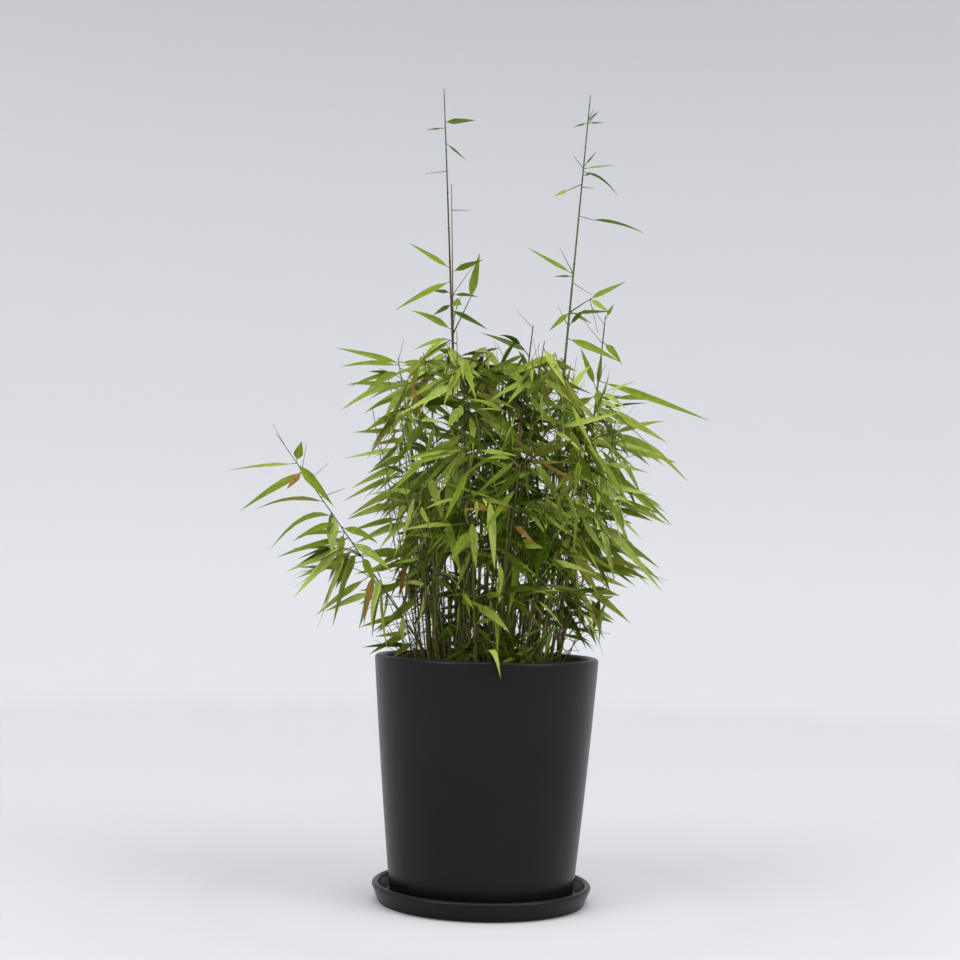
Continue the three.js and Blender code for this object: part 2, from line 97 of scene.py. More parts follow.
CROWN_CENTRE = 16.0  # the clump stands to the right of the pot's middle
CROWN_HIGH = 700
CROWN_OUTLINE = [(330, 136), (380, 166), (440, 186), (500, 204), (590, 208), (620, 200), (650, 176),
                 (680, 140), (700, 96), (716, 54)]  # how far out the leaf tips reach at each height
CROWN_HEIGHTS, CROWN_RADII = zip(*CROWN_OUTLINE)
CROWN_LEAN = {"from": 570, "by": -30}  # the top of the crown stands to one side of its middle
TALL = CROWN_HIGH + 60  # a cane that ends higher stands free above the crown
LEAF_CENTRE, LEAF_REACH = 27.0, 170  # the middle of the leaves, and how far they spread from it
DEPTH_SHARE = 0.55  # how much a place counts as outside for being in front or behind

MID_CROWN, MID_SPACING, FOOT_SPACING = 500, 28, 15
UNEVEN = {"turn": 0.4, "least": 0.92, "spread": 0.16, "top": 60}
FIRST_TWIG, LAST_TWIG = 0.03, 0.985

RINGS = [
    dict(name="outer", count=11, first=20, foot=82, reach=138, top=560, bend=1.4, bare=0.16, sweep=95,
         lift=0, seed=7),
    dict(name="middle", count=7, first=38, foot=52, reach=104, top=664, bend=1.5, bare=0.38, sweep=110,
         lift=4, seed=23),
    dict(name="inner", count=3, first=95, foot=18, reach=38, top=700, bend=1.4, bare=0.5, sweep=180,
         lift=8, seed=41),
]

# The pot's wall and lip, and all that is lower, is no place for a leaf
POT_CLEAR = {"outside": 4, "inside": 17, "below_rim": 24, "above_rim": 5, "above_soil": 4}
BASE_GAP = {"across": (72, 108), "below": 336}  # here light shows between the feet of the canes
BARE_CULM = {"foot_radius": 3.2, "tip_radius": 1.2}  # of the solids that end bare under the leaves

HUES = ["deep", "mid", "fresh", "bright", "olive", "brown"]  # the first four run from dark to light
HUE_FROM = {"bright": 0.86, "fresh": 0.48, "mid": 0.12}  # the scores that part the hues
# Weights of painted light and shade on the hues of the sprays: lighter with height, at the top, to the right
# and outward, darker in the core; either is a random spread of the leaves' own tone
HUE_AND_PAINTED_LIGHT_SCORE = dict(height=0.16, top=0.9, top_from=0.72, across=0.15, out=1.95, out_power=1.6, start=0.27,
                 core=0.12, either=0.5)
HUE_SHARES = {"olive": 0.07, "brown": 0.012, "same": 0.66, "darker": 0.84}
CORE = {"reach": 0.6, "top_from": 0.78, "top_share": 0.3}  # the middle of the clump, darkened there by painted shade

LEAF_TRIES = 6
LEAF_LENGTH = {"range": (42, 104), "each_try": 0.07, "in_core": 0.36}
LEAF_WIDTH = {"range": (6.8, 12.2), "least": 0.45, "full_at": 175}
LEAF_TURN = {"either": 18, "each_try": 6, "in_core": 40}
LEAF_RISE = {"low": -38, "high": -27, "either": 26, "in_core": 34}
LEAF_FORM = {"droop": (-0.03, 0.15), "roll": (20, 85), "bend": 0.05, "twist": 60, "fold": (0.05, 0.3)}
UPRIGHT = {"above": 0.78, "share": 0.22, "rise": (35, 82)}  # young leaves at the top of the crown point up
SPEAR = {"share": 0.5, "length": (24, 60), "width": 1.7, "turn": 15, "rise": 20}

TWIG_TRIES = 8
TWIG_RADIUS = (0.75, 0.45)
TWIG_LIMIT = 0.78  # twigs end well inside the outline that the tips of the leaves reach
TWIG = dict(length=(12, 60), each_try=0.08, sag=(0.01, 0.07), rise=45, either=24, leaves=2, more_leaves=4.4)
TWIG_DEPTH = {"most": 0.42, "power": 1.6}  # how far inside the outline some twigs keep their leaves
FULL_NODES = 0.3  # from this height share up a node has all of its twigs
FAN = {"from": 0.35, "side": (14, 44)}
LEAFIER = {"core": 0.5, "above": 0.84}  # sprays in the middle and at the top have one leaf more
SPARSER = {"away": 0.5, "least": 2}  # sprays far out have one leaf fewer
NODE_SPACING = 27
SPARSE_TOP = {"above": 0.9, "right_of": 30, "share": 0.4}  # the right half of the top has fewer sprays
OPEN_FRONT = {"turn": -90, "within": 50, "bare": 0.34, "spacing": 1.4}  # here canes show between the leaves
THIN_SIDE = {"turn": 176, "within": 66, "spacing": 1.7}  # a side with fewer twigs
TOP_TWIGS = {"count": 3, "at": (0.8, 1), "rise": (40, 88)}
BARE_TWIG = {"share": 0.6, "length": (14, 52), "radius": (0.4, 0.25), "rise": (-20, 65), "at": (0.3, 0.9)}
STALK_TAPER, NEEDLE_TAPER = [0.6, 0.55, 0.5], [0.6, 0.45, 0.25]

YOUNG = [
    dict(count=110, foot=(8, 98), height=(110, 440), lean=0.22, sway=44, radius=(0.95, 0.45), seed=301,
         sprays=(0.6, 0.96), twig=(10, 30)),
    dict(count=60, foot=(50, 100), height=(24, 120), lean=0.8, sway=24, radius=(0.8, 0.45), seed=517,
         sprays=(0.6, 0.98), twig=(6, 20)),
]
YOUNG_FORM = {"turn": 20, "inner": 1.1, "outer": 0.8, "bend": (0.9, 1.6)}
YOUNG_SPRAY = {"tries": 4, "turn": 110, "rise": (10, 55), "leaves": 2, "limit": 0.9}
GOLDEN_ANGLE = 137.5  # between one young cane and the next

# ---------- numbers that look thrown ----------


class Dice:
    """Numbers from 0 to 1 that are the same on every run."""

    def __init__(self, seed):
        self.state = seed & 0xFFFFFFFF

    def roll(self, low=0.0, high=1.0):
        self.state = (self.state * 1664525 + 1013904223) & 0xFFFFFFFF
        return low + (high - low) * self.state / 4294967296

    def either(self, spread):
        return spread * (2 * self.roll() - 1)


def lerp(low, high, share):
    return low + (high - low) * share


# ---------- canes and leaves by name ----------


def leaf(at, turn, rise, length, width=9, droop=0.12, twig=6, roll=62, hue=None):
    """A leaf that stands out by itself: the height share of its node, its aim, size, arch, twig and roll."""
    return dict(at=at, turn=turn, rise=rise, length=length, width=width, droop=droop, twig=twig, roll=roll,
                hue=hue)


deep, mid, fresh, bright, olive, brown = (partial(leaf, hue=hue) for hue in HUES)


def needle(at, turn, rise, length):
    """A bare side twig or a dried sheath, as fine as a needle."""
    return leaf(at, turn, rise, length, width=0, twig=length)


EDGE_HUES = ["mid", "fresh", "mid", "bright", "fresh", "mid", "olive"]


def edge_leaves(seed, count, at, turn, rise, reach, twig, width=(8, 13)):
    """Leaves that spread from one side of a cane, evenly up it. They reach further the higher, to halfway."""
    dice = Dice(seed)
    made = []
    for i in range(count):
        share = (i + dice.roll()) / count
        slope = dice.roll(*rise)
        out = lerp(*reach, min(1, 2 * share)) * dice.roll(0.78, 1)
        length = round(out / max(0.6, math.cos(math.radians(slope))))
        hue = EDGE_HUES[int(len(EDGE_HUES) * dice.roll())]
        made.append(leaf(lerp(*at, share), dice.roll(*turn), slope, length, dice.roll(*width), 0.05,
                         length * dice.roll(*twig), hue=hue))
    return made


SINGLES = [
    dict(name="leader_left", foot=(-28, 10), tip=(-73, 16, 1028), tip_radius=0.6, bend=1, bare=0.47,
         turn=150, sweep=150, leafy_to=0.57),
    dict(name="leader_right", foot=(60, -6), tip=(114, -14, 1016), tip_radius=0.6, bend=1, bare=0.47,
         turn=-30, sweep=150, leafy_to=0.57),
    dict(name="side_leader", foot=(84, 22), tip=(142, 26, 740), bend=0.7, bare=0.36, turn=4, sweep=80,
         leafy_to=0.86),
    dict(name="left_high", foot=(-70, 2), tip=(-122, 8, 676), bend=1.5, bare=0.15, turn=178, sweep=85,
         leafy_to=0.6),
    dict(name="front", foot=(-14, -86), tip=(-28, -130, 548), bend=1.4, bare=0.17, turn=-100, sweep=100,
         leafy_to=LAST_TWIG),
    dict(name="arm", foot=(-56, -20), tip=(-267, -44, 572), foot_radius=1.3, tip_radius=0.4, bend=1.04,
         bare=0.22, turn=190, sweep=95, leafy_to=0.5, beyond_crown=True, node_spacing=24),
]

LEAVES = {
    "leader_left": [
        deep(0.942, -8, 3, 40, 10, 0, 2), deep(0.932, 178, -8, 25, 3.4, 0.05, 6),
        deep(0.906, 15, -36, 35, 4, 0, 4), needle(0.857, 186, -10, 28), mid(0.69, 175, 31, 64, 8, 0, 5),
        deep(0.683, -12, 20, 46, 11, 0, 7), mid(0.668, 200, -31, 86, 9, 0.05),
        deep(0.648, 150, 8, 30, 6, 0.05, 4), deep(0.645, 10, -3, 36, 6), mid(0.63, -70, -12, 42, 13),
        needle(0.64, 5, 57, 56), deep(0.628, 205, -33, 30, 7, 0, 3), deep(0.618, -15, -28, 56, 8, 0.04, 3),
        leaf(0.585, 172, 24, 60, 10, 0.1), needle(0.6, 20, 70, 34), needle(0.58, 60, 76, 40)],
    "leader_right": [
        deep(0.955, 10, 44, 20, 2.6, 0, 3), deep(0.951, 0, 2, 21, 2.8, 0, 3),
        deep(0.951, 185, -18, 20, 3.2, 0, 3), mid(0.95, -70, 8, 18, 7, 0, 2), needle(0.957, 20, 62, 17),
        needle(0.955, -30, 30, 14), deep(0.875, -10, 50, 26, 3, 0, 5), needle(0.872, 176, 52, 22),
        mid(0.872, -12, 4, 42, 3, 0.04, 5), deep(0.868, -5, -36, 56, 4.4, 0.27, 4),
        deep(0.86, -20, 8, 14, 4, 0, 3), fresh(0.845, 184, -26, 40, 6, 0, 20), needle(0.84, -8, -6, 16),
        deep(0.79, -5, -15, 88, 5.4, 0.12, 19), mid(0.69, 184, 28, 68, 7, 0, 6), needle(0.69, 170, 62, 38),
        deep(0.686, 182, -3, 25, 3.4, 0.03, 4), needle(0.675, -10, -32, 30),
        deep(0.622, -10, 2, 54, 6, 0.05, 10), mid(0.626, 30, -20, 36, 7, 0, 8),
        mid(0.624, 186, -44, 36, 8, 0.03, 3), deep(0.6, 20, 44, 34, 6), mid(0.58, -6, -24, 74, 12, 0.05),
        needle(0.6, 150, 60, 30)],
    "side_leader": [
        leaf(0.99, 20, 60, 24, 5), leaf(0.93, 0, -50, 40, 11, 0.1), mid(0.82, -3, -19, 154, 11, 0.02, 12),
        mid(0.775, 12, -2, 92, 8, 0.1, 28), mid(0.79, 168, 68, 62, 9, 0, 12),
        mid(0.795, 60, 78, 52, 8, 0, 8), fresh(0.75, -20, -27, 108, 13, 0.06, 10),
        mid(0.72, 10, -31, 138, 11, 0.14, 44), deep(0.74, 14, 9, 74, 4, 0.06, 12),
        mid(0.78, 200, -30, 70, 11, 0.05, 8), mid(0.8, -90, -40, 60, 11, 0.05, 6, 20),
        fresh(0.66, -8, 14, 96, 9, 0.06, 34), deep(0.7, 190, -45, 62, 12, 0, 6),
        fresh(0.78, -25, -42, 168, 6, 0.04, 92),
        *edge_leaves(61, 23, at=(0.19, 0.71), turn=(-26, 24), rise=(-48, -10), reach=(66, 116),
                     twig=(0.1, 0.5)), needle(0.36, 4, -19, 122)],
    "left_high": [
        mid(0.985, 172, 13, 86, 9, 0.03, 2), fresh(0.93, 196, -29, 90, 10, 0.12),
        deep(0.95, 176, 4, 42, 6, 0.05, 12), leaf(0.9, 150, 6, 90, 9), mid(0.955, 178, -17, 68, 8),
        mid(0.92, 186, -19, 58, 12), mid(0.885, 166, -25, 58, 10), mid(0.84, 192, -32, 62, 10),
        mid(0.82, 160, -20, 66, 9), olive(0.86, 182, -58, 88, 9, 0.03, 8),
        leaf(0.77, 180, -3, 72, 9, 0.03, 10), fresh(0.745, 164, -9, 54, 8, 0.03, 8),
        bright(0.72, 188, -12, 88, 7, 0.02, 16), leaf(0.7, 170, -25, 64, 11, 0.05, 10),
        fresh(0.68, 194, -27, 88, 10, 0.04, 20), leaf(0.64, 174, -30, 76, 4, 0.3, 12),
        leaf(0.63, 200, -49, 44, 13, 0.04, 8), leaf(0.9, -20, 34, 58, 9, 0.03, 8),
        leaf(0.8, 14, -12, 62, 10, 0.05, 12), leaf(0.72, -40, -30, 60, 11, 0.05, 12),
        mid(0.88, -30, -10, 70, 10), mid(0.93, 30, -20, 60, 11), mid(0.97, -16, -22, 70, 11),
        mid(0.99, 10, -8, 60, 9), deep(0.94, -30, -44, 70, 12), mid(0.9, 0, -30, 84, 12),
        mid(0.96, -140, -30, 60, 11), mid(0.98, 196, -6, 78, 8), mid(0.85, -10, -40, 72, 12),
        deep(0.78, -50, -30, 66, 12), mid(0.9, -110, -36, 70, 11, 0.03, 8, 20),
        leaf(0.82, -80, -50, 74, 12, 0.03, 6, 15), olive(0.44, 178, -37, 64, 8, 0.15, 28),
        mid(0.4, 190, -8, 84, 8, 0.1, 30), fresh(0.36, 172, -12, 92, 9, 0.05, 40),
        leaf(0.33, 196, -28, 96, 10, 0.05, 34), olive(0.29, 182, -8, 86, 8, 0.04, 36),
        mid(0.27, 188, -42, 84, 12, 0.04, 16), leaf(0.25, 166, -34, 86, 10, 0.05, 30),
        fresh(0.21, 190, -16, 90, 8, 0.04, 34), mid(0.17, 184, -30, 86, 10, 0.05, 30),
        olive(0.15, 190, -40, 62, 9, 0.05, 30), fresh(0.14, 200, -6, 72, 7, 0.04, 28),
        deep(0.1, 186, -4, 86, 7, 0.06, 26),
        *edge_leaves(17, 7, at=(0.36, 0.7), turn=(172, 190), rise=(-34, -12), reach=(62, 104),
                     twig=(0.2, 0.4)), needle(0.24, 180, 4, 76), needle(0.19, 184, -16, 70)],
    "front": [
        bright(0.25, -63, -40, 92, 9, 0.6, 46, 10), fresh(0.35, -43, -30, 68, 13, 0.12, 6, 40),
        fresh(0.72, -70, -72, 66, 11, 0.02, 6, 15), fresh(0.7, 190, -8, 84, 9, 0.08, 24, 40),
        mid(0.68, 236, -44, 62, 14, 0.02, 8, 20), mid(0.93, 214, -62, 74, 11, 0.02, 6, 20)],
    "arm": [
        mid(0.885, 30, 76, 27, 12, 0, 4), fresh(0.88, 184, -8, 88, 5, 0.05, 8),
        mid(0.875, -10, -47, 70, 13, 0, 3), mid(0.845, 186, -34, 91, 11, 0.06, 4),
        brown(0.85, 200, -52, 31, 9, 0, 4), olive(0.725, 182, -9, 85, 6, 0.2, 3),
        mid(0.672, 186, -32, 89, 8, 0.37, 4), mid(0.68, -100, -80, 28, 8, 0, 2),
        bright(0.67, -80, -82, 52, 16, 0, 3, 12), needle(0.74, -20, 20, 34),
        leaf(0.6, 178, -8, 62, 7, 0.1, 4), mid(0.575, 186, -17, 94, 9, 0.06, 6),
        bright(0.54, 184, -22, 90, 11, 0.04, 8), deep(0.575, 182, -30, 74, 5, 0.05, 24),
        deep(0.575, 192, -24, 70, 4, 0, 22), mid(0.5, 30, 2, 96, 8, 0.05, 10),
        fresh(0.43, 184, -38, 89, 10, 0.04, 16), bright(0.37, 184, -24, 78, 10, 0.04, 18),
        brown(0.43, 214, -80, 66, 9, 0, 4, 20), needle(0.34, 190, -36, 36), mid(0.62, -30, -20, 60, 10),
        bright(0.56, -10, -35, 66, 12), mid(0.52, 200, -60, 56, 10), fresh(0.6, 250, -60, 50, 12),
        mid(0.5, -60, -40, 60, 11), fresh(0.48, 170, -12, 84, 9, 0.05, 10), mid(0.64, 210, -24, 66, 9),
        mid(0.53, 150, -30, 70, 9, 0.05, 12), needle(0.3, 176, 2, 30)],
    "inner_2": [
        mid(0.985, -35, -33, 118, 15, 0.03, 4, 30), mid(0.98, 207, -30, 98, 12, 0.05, 14, 40),
        mid(0.97, 182, -8, 88, 11, 0.08, 10, 50), mid(0.96, 245, -38, 70, 12, 0.02, 6, 20),
        olive(0.93, -60, -50, 56, 12, 0.02, 6, 20), olive(0.9, -70, -60, 62, 10, 0, 6, 15),
        mid(0.88, -50, -55, 96, 13, 0.03, 22, 20), mid(0.8, 236, -45, 100, 10, 0.04, 24, 25)],
    "middle_5": [
        deep(0.95, -38, -32, 62, 15, 0.02, 10, 25), fresh(0.93, 238, -42, 50, 15, 0.02, 6, 20),
        mid(0.84, 226, -40, 64, 12, 0.04, 8, 20), fresh(0.78, 228, -55, 56, 11, 0.02, 6, 20),
        fresh(0.74, 250, -74, 72, 11, 0.02, 4, 15), fresh(0.55, 190, -8, 62, 9, 0.08, 8, 40),
        fresh(0.54, 236, -44, 60, 14, 0.02, 8, 20)],
    "middle_6": [
        fresh(0.98, -60, -45, 74, 11, 0.03, 6, 25), mid(0.58, 203, -14, 84, 10, 0.1, 36, 35),
        fresh(0.43, -15, -12, 44, 16, 0, 14, 50)],
    "outer_9": [
        brown(0.8, 188, -3, 64, 8, 0.05, 6, 60), brown(0.74, -30, -38, 40, 8, 0, 6, 40),
        fresh(0.66, -15, -12, 44, 15, 0, 10, 50), mid(0.9, -140, -48, 84, 11, 0.03, 6, 15)],
    "outer_7": [
        mid(0.86, 222, -40, 70, 12, 0.04, 8, 20), fresh(0.8, -60, -55, 76, 12, 0.02, 6, 15),
        deep(0.74, -40, -30, 72, 15, 0.02, 6, 20)],
}

SHOOTS = {
    "leader_left": [
        dict(at=0.51, turn=150, rise=87.5, length=246, leaves=[needle(0.86, 5, 2, 24)]),
        dict(at=0.575, turn=5, rise=66, length=56, leaves=[leaf(0.97, 10, 80, 60, 12, 0, 2)])],
    "leader_right": [
        dict(at=0.624, turn=8, rise=35, length=33, leaves=[
             mid(1.0, 8, 28, 52, 8, 0, 1), fresh(0.97, -10, -35, 32, 8, 0, 2), needle(0.95, 0, -75, 44)])],
}

# ---------- the growing rule ----------


def aim(turn, rise):
    """The unit vector that a turn in plan and a rise above level give."""
    level = math.cos(math.radians(rise))
    turned = math.radians(turn)
    return np.array([level * math.cos(turned), level * math.sin(turned), math.sin(math.radians(rise))])


def unit(vector):
    return vector / np.linalg.norm(vector, axis=-1, keepdims=True)


def on_axis(culm, share):
    """A point on a culm's axis, which rises evenly and moves out by a power of the height share."""
    out = share ** culm["bend"]
    foot, tip = culm["foot"], culm["tip"]
    return np.array([lerp(foot[0], tip[0], out), lerp(foot[1], tip[1], out), lerp(CULM_FOOT, tip[2], share)])


def culm_radius(culm, share):
    height = share * (culm["tip"][2] - CULM_FOOT)
    flare = 1 + FOOT_FLARE["by"] * max(0, 1 - height / FOOT_FLARE["height"])
    foot, tip = culm.get("foot_radius", CULM_RADIUS[0]), culm.get("tip_radius", CULM_RADIUS[1])
    return lerp(foot, tip, share) * flare


def at_mid_crown(culm):
    return on_axis(culm, (MID_CROWN - CULM_FOOT) / (culm["tip"][2] - CULM_FOOT))


def stands_apart(culm, others):
    for other in others:
        if math.dist(culm["foot"], other["foot"]) <= FOOT_SPACING:
            return False
        if np.linalg.norm(at_mid_crown(other) - at_mid_crown(culm)) <= MID_SPACING:
            return False
    return True


def ring_culms(ring, others):
    """The culms of one ring, without those that would crowd a neighbour."""
    dice = Dice(ring["seed"])
    grown = []
    for i in range(ring["count"]):
        turn = ring["first"] + 360 * (i + UNEVEN["turn"] * (dice.roll() - 0.5)) / ring["count"]
        foot = ring["foot"] * (UNEVEN["least"] + UNEVEN["spread"] * dice.roll())
        reach = ring["reach"] * (UNEVEN["least"] + UNEVEN["spread"] * dice.roll())
        top = ring["top"] + UNEVEN["top"] * (dice.roll() - 0.5)
        out = aim(turn, 0)
        name = f"{ring['name']}_{i + 1}"
        culm = dict(name=name, turn=turn, bend=ring["bend"], bare=ring["bare"], sweep=ring["sweep"],
                    lift=ring["lift"], leafy_to=LAST_TWIG, foot=(foot * out[0], foot * out[1]),
                    tip=(reach * out[0] + CROWN_CENTRE, reach * out[1], top))
        if stands_apart(culm, [*others, *grown]):
            grown.append(culm)
    return grown


def crown_culms():
    """All leafy culms: the single ones, then ring by ring, from the outside in."""
    culms = list(SINGLES)
    for ring in RINGS:
        culms += ring_culms(ring, culms)
    return culms


def bare_culm(node):
    """A culm that ends bare under the leaves. It leans straight outward between its box's corners."""
    low, high = node_box(node)
    outward = np.sign(low + high)
    foot = np.where(outward > 0, low + BARE_CULM["foot_radius"], high - BARE_CULM["foot_radius"])
    tip = np.where(outward > 0, high - BARE_CULM["tip_radius"], low + BARE_CULM["tip_radius"])
    return dict(bend=1, foot=tuple(foot[:2]), tip=(tip[0], tip[1], high[2]))


def in_pot(point):
    out = math.hypot(point[0], point[1])
    if out > RIM_RADIUS + POT_CLEAR["outside"]:
        return point[2] < RIM - POT_CLEAR["below_rim"]
    if out > RIM_RADIUS - POT_CLEAR["inside"]:
        return point[2] < RIM + POT_CLEAR["above_rim"]
    return point[2] < SOIL_TOP + POT_CLEAR["above_soil"]


def in_base_gap(point):
    return BASE_GAP["across"][0] < point[0] < BASE_GAP["across"][1] and point[2] < BASE_GAP["below"]


def barred(*points):
    return any(in_pot(point) or in_base_gap(point) for point in points)


def in_crown(point, limit=1.0):
    height = point[2]
    if height > CROWN_HEIGHTS[-1]:
        return False
    lean = CROWN_LEAN["by"] * max(0, height - CROWN_LEAN["from"]) / (CROWN_HIGH - CROWN_LEAN["from"])
    out = math.hypot(point[0] - LEAF_CENTRE - lean, point[1])
    return out < limit * np.interp(height, CROWN_HEIGHTS, CROWN_RADII)


def in_reach(point):
    return bool(np.all(point > REACH_LOW + REACH_ROOM) and np.all(point < REACH_HIGH - REACH_ROOM))


class Growth:
    """The stems and leaves of the clump, gathered before they are made into meshes."""

    def __init__(self):
        self.stems = []
        self.leaves = []

    def stem(self, points, radii, kind):
        self.stems.append((np.array(points), np.array(radii), kind))

    def leaf(self, root, turn, rise, length, width, droop, roll, hue, bend=0.0, twist=0.0, fold=0.2):
        self.leaves.append((root, turn, rise, length, width, droop, roll, bend, twist, fold, hue))


def height_share(place):
    return min(1, max(0, (place[2] - RIM) / (CROWN_HIGH - RIM)))


def away(place):
    """How far a place is from the middle of the leaves, counted less to the front and back."""
    return math.hypot(place[0] - LEAF_CENTRE, DEPTH_SHARE * place[1]) / LEAF_REACH


def in_core(place):
    """From 0 to 1: how deep a place is in the middle of the clump, under its top, where the hue score paints
    shade.
    """
    under_top = 1 if height_share(place) < CORE["top_from"] else CORE["top_share"]
    return max(0, 1 - away(place) / CORE["reach"]) * under_top


def spray_hue_and_painted_light(place, dice):
    """The hue of a spray with painted light and shade: deep low down and in the core, lighter outward, to the
    top and to the right, where light falls; the random spread and the olive sprays are the leaves' own tone.
    """
    by = HUE_AND_PAINTED_LIGHT_SCORE
    across, height = (place[0] - LEAF_CENTRE) / LEAF_REACH, height_share(place)
    # Painted light: lighter higher up, at the top and to the right; below, lighter outward and painted shade
    # in the core
    light = by["height"] * height + by["top"] * max(0, height - by["top_from"]) + by["across"] * across
    score = light + by["out"] * away(place) ** by["out_power"] - by["start"] - by["core"] * in_core(place)
    score += dice.either(by["either"])
    if dice.roll() < HUE_SHARES["olive"]:
        return "olive"
    return next((hue for hue, least in HUE_FROM.items() if score > least), "deep")


def leaf_hue(hue, dice):
    """Most leaves share their spray's hue, some are a step lighter or darker, and a few are brown."""
    step = dice.roll()
    if step < HUE_SHARES["brown"]:
        return "brown"
    if hue == "olive" or step < HUE_SHARES["same"]:
        return hue
    place = HUES.index(hue) + (1 if step > HUE_SHARES["darker"] else -1)
    return HUES[min(HUES.index("bright"), max(0, place))]


def curved(start, end, sag, steps):
    """Points from start to end along a shallow arch."""
    return on_arch(start, end, sag, np.linspace(0, 1, steps)[:, None])


def on_arch(start, end, sag, share):
    point = start + (end - start) * share
    point[..., 2:] += 4 * sag * share * (1 - share)
    return point


def grow_spray(growth, culm, start, turn, rise, length, count, dice, limit):
    """A twig with a fan of leaves in two ranks and one at its end."""
    end = start + aim(turn, rise) * length
    if barred(end) or not (culm.get("beyond_crown") or in_crown(end, min(limit, TWIG_LIMIT))):
        return False
    sag = dice.roll(*TWIG["sag"]) * length
    growth.stem(curved(start, end, sag, 5), np.linspace(*TWIG_RADIUS, 5), "twig")
    height = height_share(end)
    hue = spray_hue_and_painted_light(end, dice)
    if in_core(end) > LEAFIER["core"] or height > LEAFIER["above"]:
        count += 1
    elif away(end) > SPARSER["away"]:
        count = max(SPARSER["least"], count - 1)
    for i in range(count):
        place = lerp(FAN["from"], 1, i / (count - 1))
        side = 0 if i == count - 1 else (1 if i % 2 else -1)
        root = on_arch(start, end, sag, place)
        grow_leaf(growth, culm, root, turn + side * dice.roll(*FAN["side"]), height, hue, dice, limit)
    if dice.roll() < SPEAR["share"]:
        grow_spear(growth, culm, end, turn, rise, hue, dice)
    return True


def grow_spear(growth, culm, root, turn, rise, hue, dice):
    """A young leaf, still rolled up, that goes on from the end of its twig."""
    turn, rise = turn + dice.either(SPEAR["turn"]), rise + dice.roll(0, SPEAR["rise"])
    length = dice.roll(*SPEAR["length"])
    tip = root + aim(turn, rise) * length
    if in_reach(tip) and (culm.get("beyond_crown") or in_crown(tip)):
        growth.leaf(root, turn, rise, length, SPEAR["width"], droop=0.05, roll=30, hue=hue, fold=0.6)


def grow_leaf(growth, culm, root, turn, height, hue, dice, limit):
    """A leaf that keeps inside the crown. Each new try is a little shorter and may turn further aside."""
    core = in_core(root)
    for attempt in range(LEAF_TRIES):
        spread = LEAF_TURN["either"] + LEAF_TURN["each_try"] * attempt + LEAF_TURN["in_core"] * core
        leaf_turn = turn + dice.either(spread)
        rise = lerp(LEAF_RISE["low"], LEAF_RISE["high"], height) + culm.get("lift", 0)
        rise += dice.either(LEAF_RISE["either"])
        rise += dice.either(LEAF_RISE["either"] + LEAF_RISE["in_core"] * core)
        if height > UPRIGHT["above"] and dice.roll() < UPRIGHT["share"]:
            rise = dice.roll(*UPRIGHT["rise"])
        length = dice.roll(*LEAF_LENGTH["range"]) * (1 - LEAF_LENGTH["each_try"] * attempt)
        length *= 1 - LEAF_LENGTH["in_core"] * core
        tip = root + aim(leaf_turn, rise) * length
        inside = culm.get("beyond_crown") or in_crown(tip, limit)
        if inside and in_reach(tip) and not barred(tip, (tip + root) / 2):
            roll = (-1 if dice.roll() < 0.5 else 1) * dice.roll(*LEAF_FORM["roll"])
            width = dice.roll(*LEAF_WIDTH["range"]) * (LEAF_WIDTH["least"] + length / LEAF_WIDTH["full_at"])
            growth.leaf(root, leaf_turn, rise, length, width, dice.roll(*LEAF_FORM["droop"]), roll,
                        leaf_hue(hue, dice), dice.either(LEAF_FORM["bend"]), dice.either(LEAF_FORM["twist"]),
                        dice.roll(*LEAF_FORM["fold"]))
            return


def faces(culm, side):
    """Whether a culm of the crown leans to one named side of it."""
    aside = abs((culm["turn"] - side["turn"] + 180) % 360 - 180)
    return aside < side["within"] and not culm.get("beyond_crown")


def twig_count(start):
    """Three twigs in the body of the crown, and under and above it two on the left and one on the right."""
    if FULL_NODES < height_share(start) < SPARSE_TOP["above"]:
        return 3
    return 2 if start[0] < 0 else 1


def grow_node(growth, culm, start, node, dice):
    """The twigs of one node, to the left and right in turn. Each new try is a little shorter."""
    height = height_share(start)
    for part in range(twig_count(start)):
        hand = -1 if (node + part) % 2 else 1
        limit = 1 - TWIG_DEPTH["most"] * dice.roll() ** TWIG_DEPTH["power"]
        for attempt in range(TWIG_TRIES):
            turn = culm["turn"] + hand * culm["sweep"] * dice.roll()
            rise = lerp(0, TWIG["rise"], height) + dice.either(TWIG["either"])
            length = dice.roll(*TWIG["length"]) * (1 - TWIG["each_try"] * attempt)
            count = TWIG["leaves"] + int(TWIG["more_leaves"] * dice.roll())
            if grow_spray(growth, culm, start, turn, rise, length, count, dice, limit):
                break


def grow_foliage(growth, culm):
    """Nodes with twigs, evenly up the leafy part of a culm, and a few bare twigs at the top of the crown."""
    dice = Dice(round(1000 + culm["turn"] * 13 + culm["tip"][2]))
    bare = max(culm["bare"], OPEN_FRONT["bare"]) if faces(culm, OPEN_FRONT) else culm["bare"]
    first, last = bare + FIRST_TWIG, culm["leafy_to"]
    spacing = culm.get("node_spacing", NODE_SPACING)
    for side in (THIN_SIDE, OPEN_FRONT):
        if faces(culm, side):
            spacing *= side["spacing"]
    nodes = max(3, round((last - first) * (culm["tip"][2] - CULM_FOOT) / spacing))
    for node in range(nodes):
        start = on_axis(culm, lerp(first, last, node / (nodes - 1)))
        at_sparse_top = height_share(start) > SPARSE_TOP["above"] and start[0] > SPARSE_TOP["right_of"]
        if at_sparse_top and dice.roll() < SPARSE_TOP["share"]:
            continue
        grow_node(growth, culm, start, node, dice)
    if culm["tip"][2] < TALL:
        for _ in range(TOP_TWIGS["count"]):
            grow_bare_twig(growth, on_axis(culm, dice.roll(*TOP_TWIGS["at"])), dice, TOP_TWIGS["rise"])


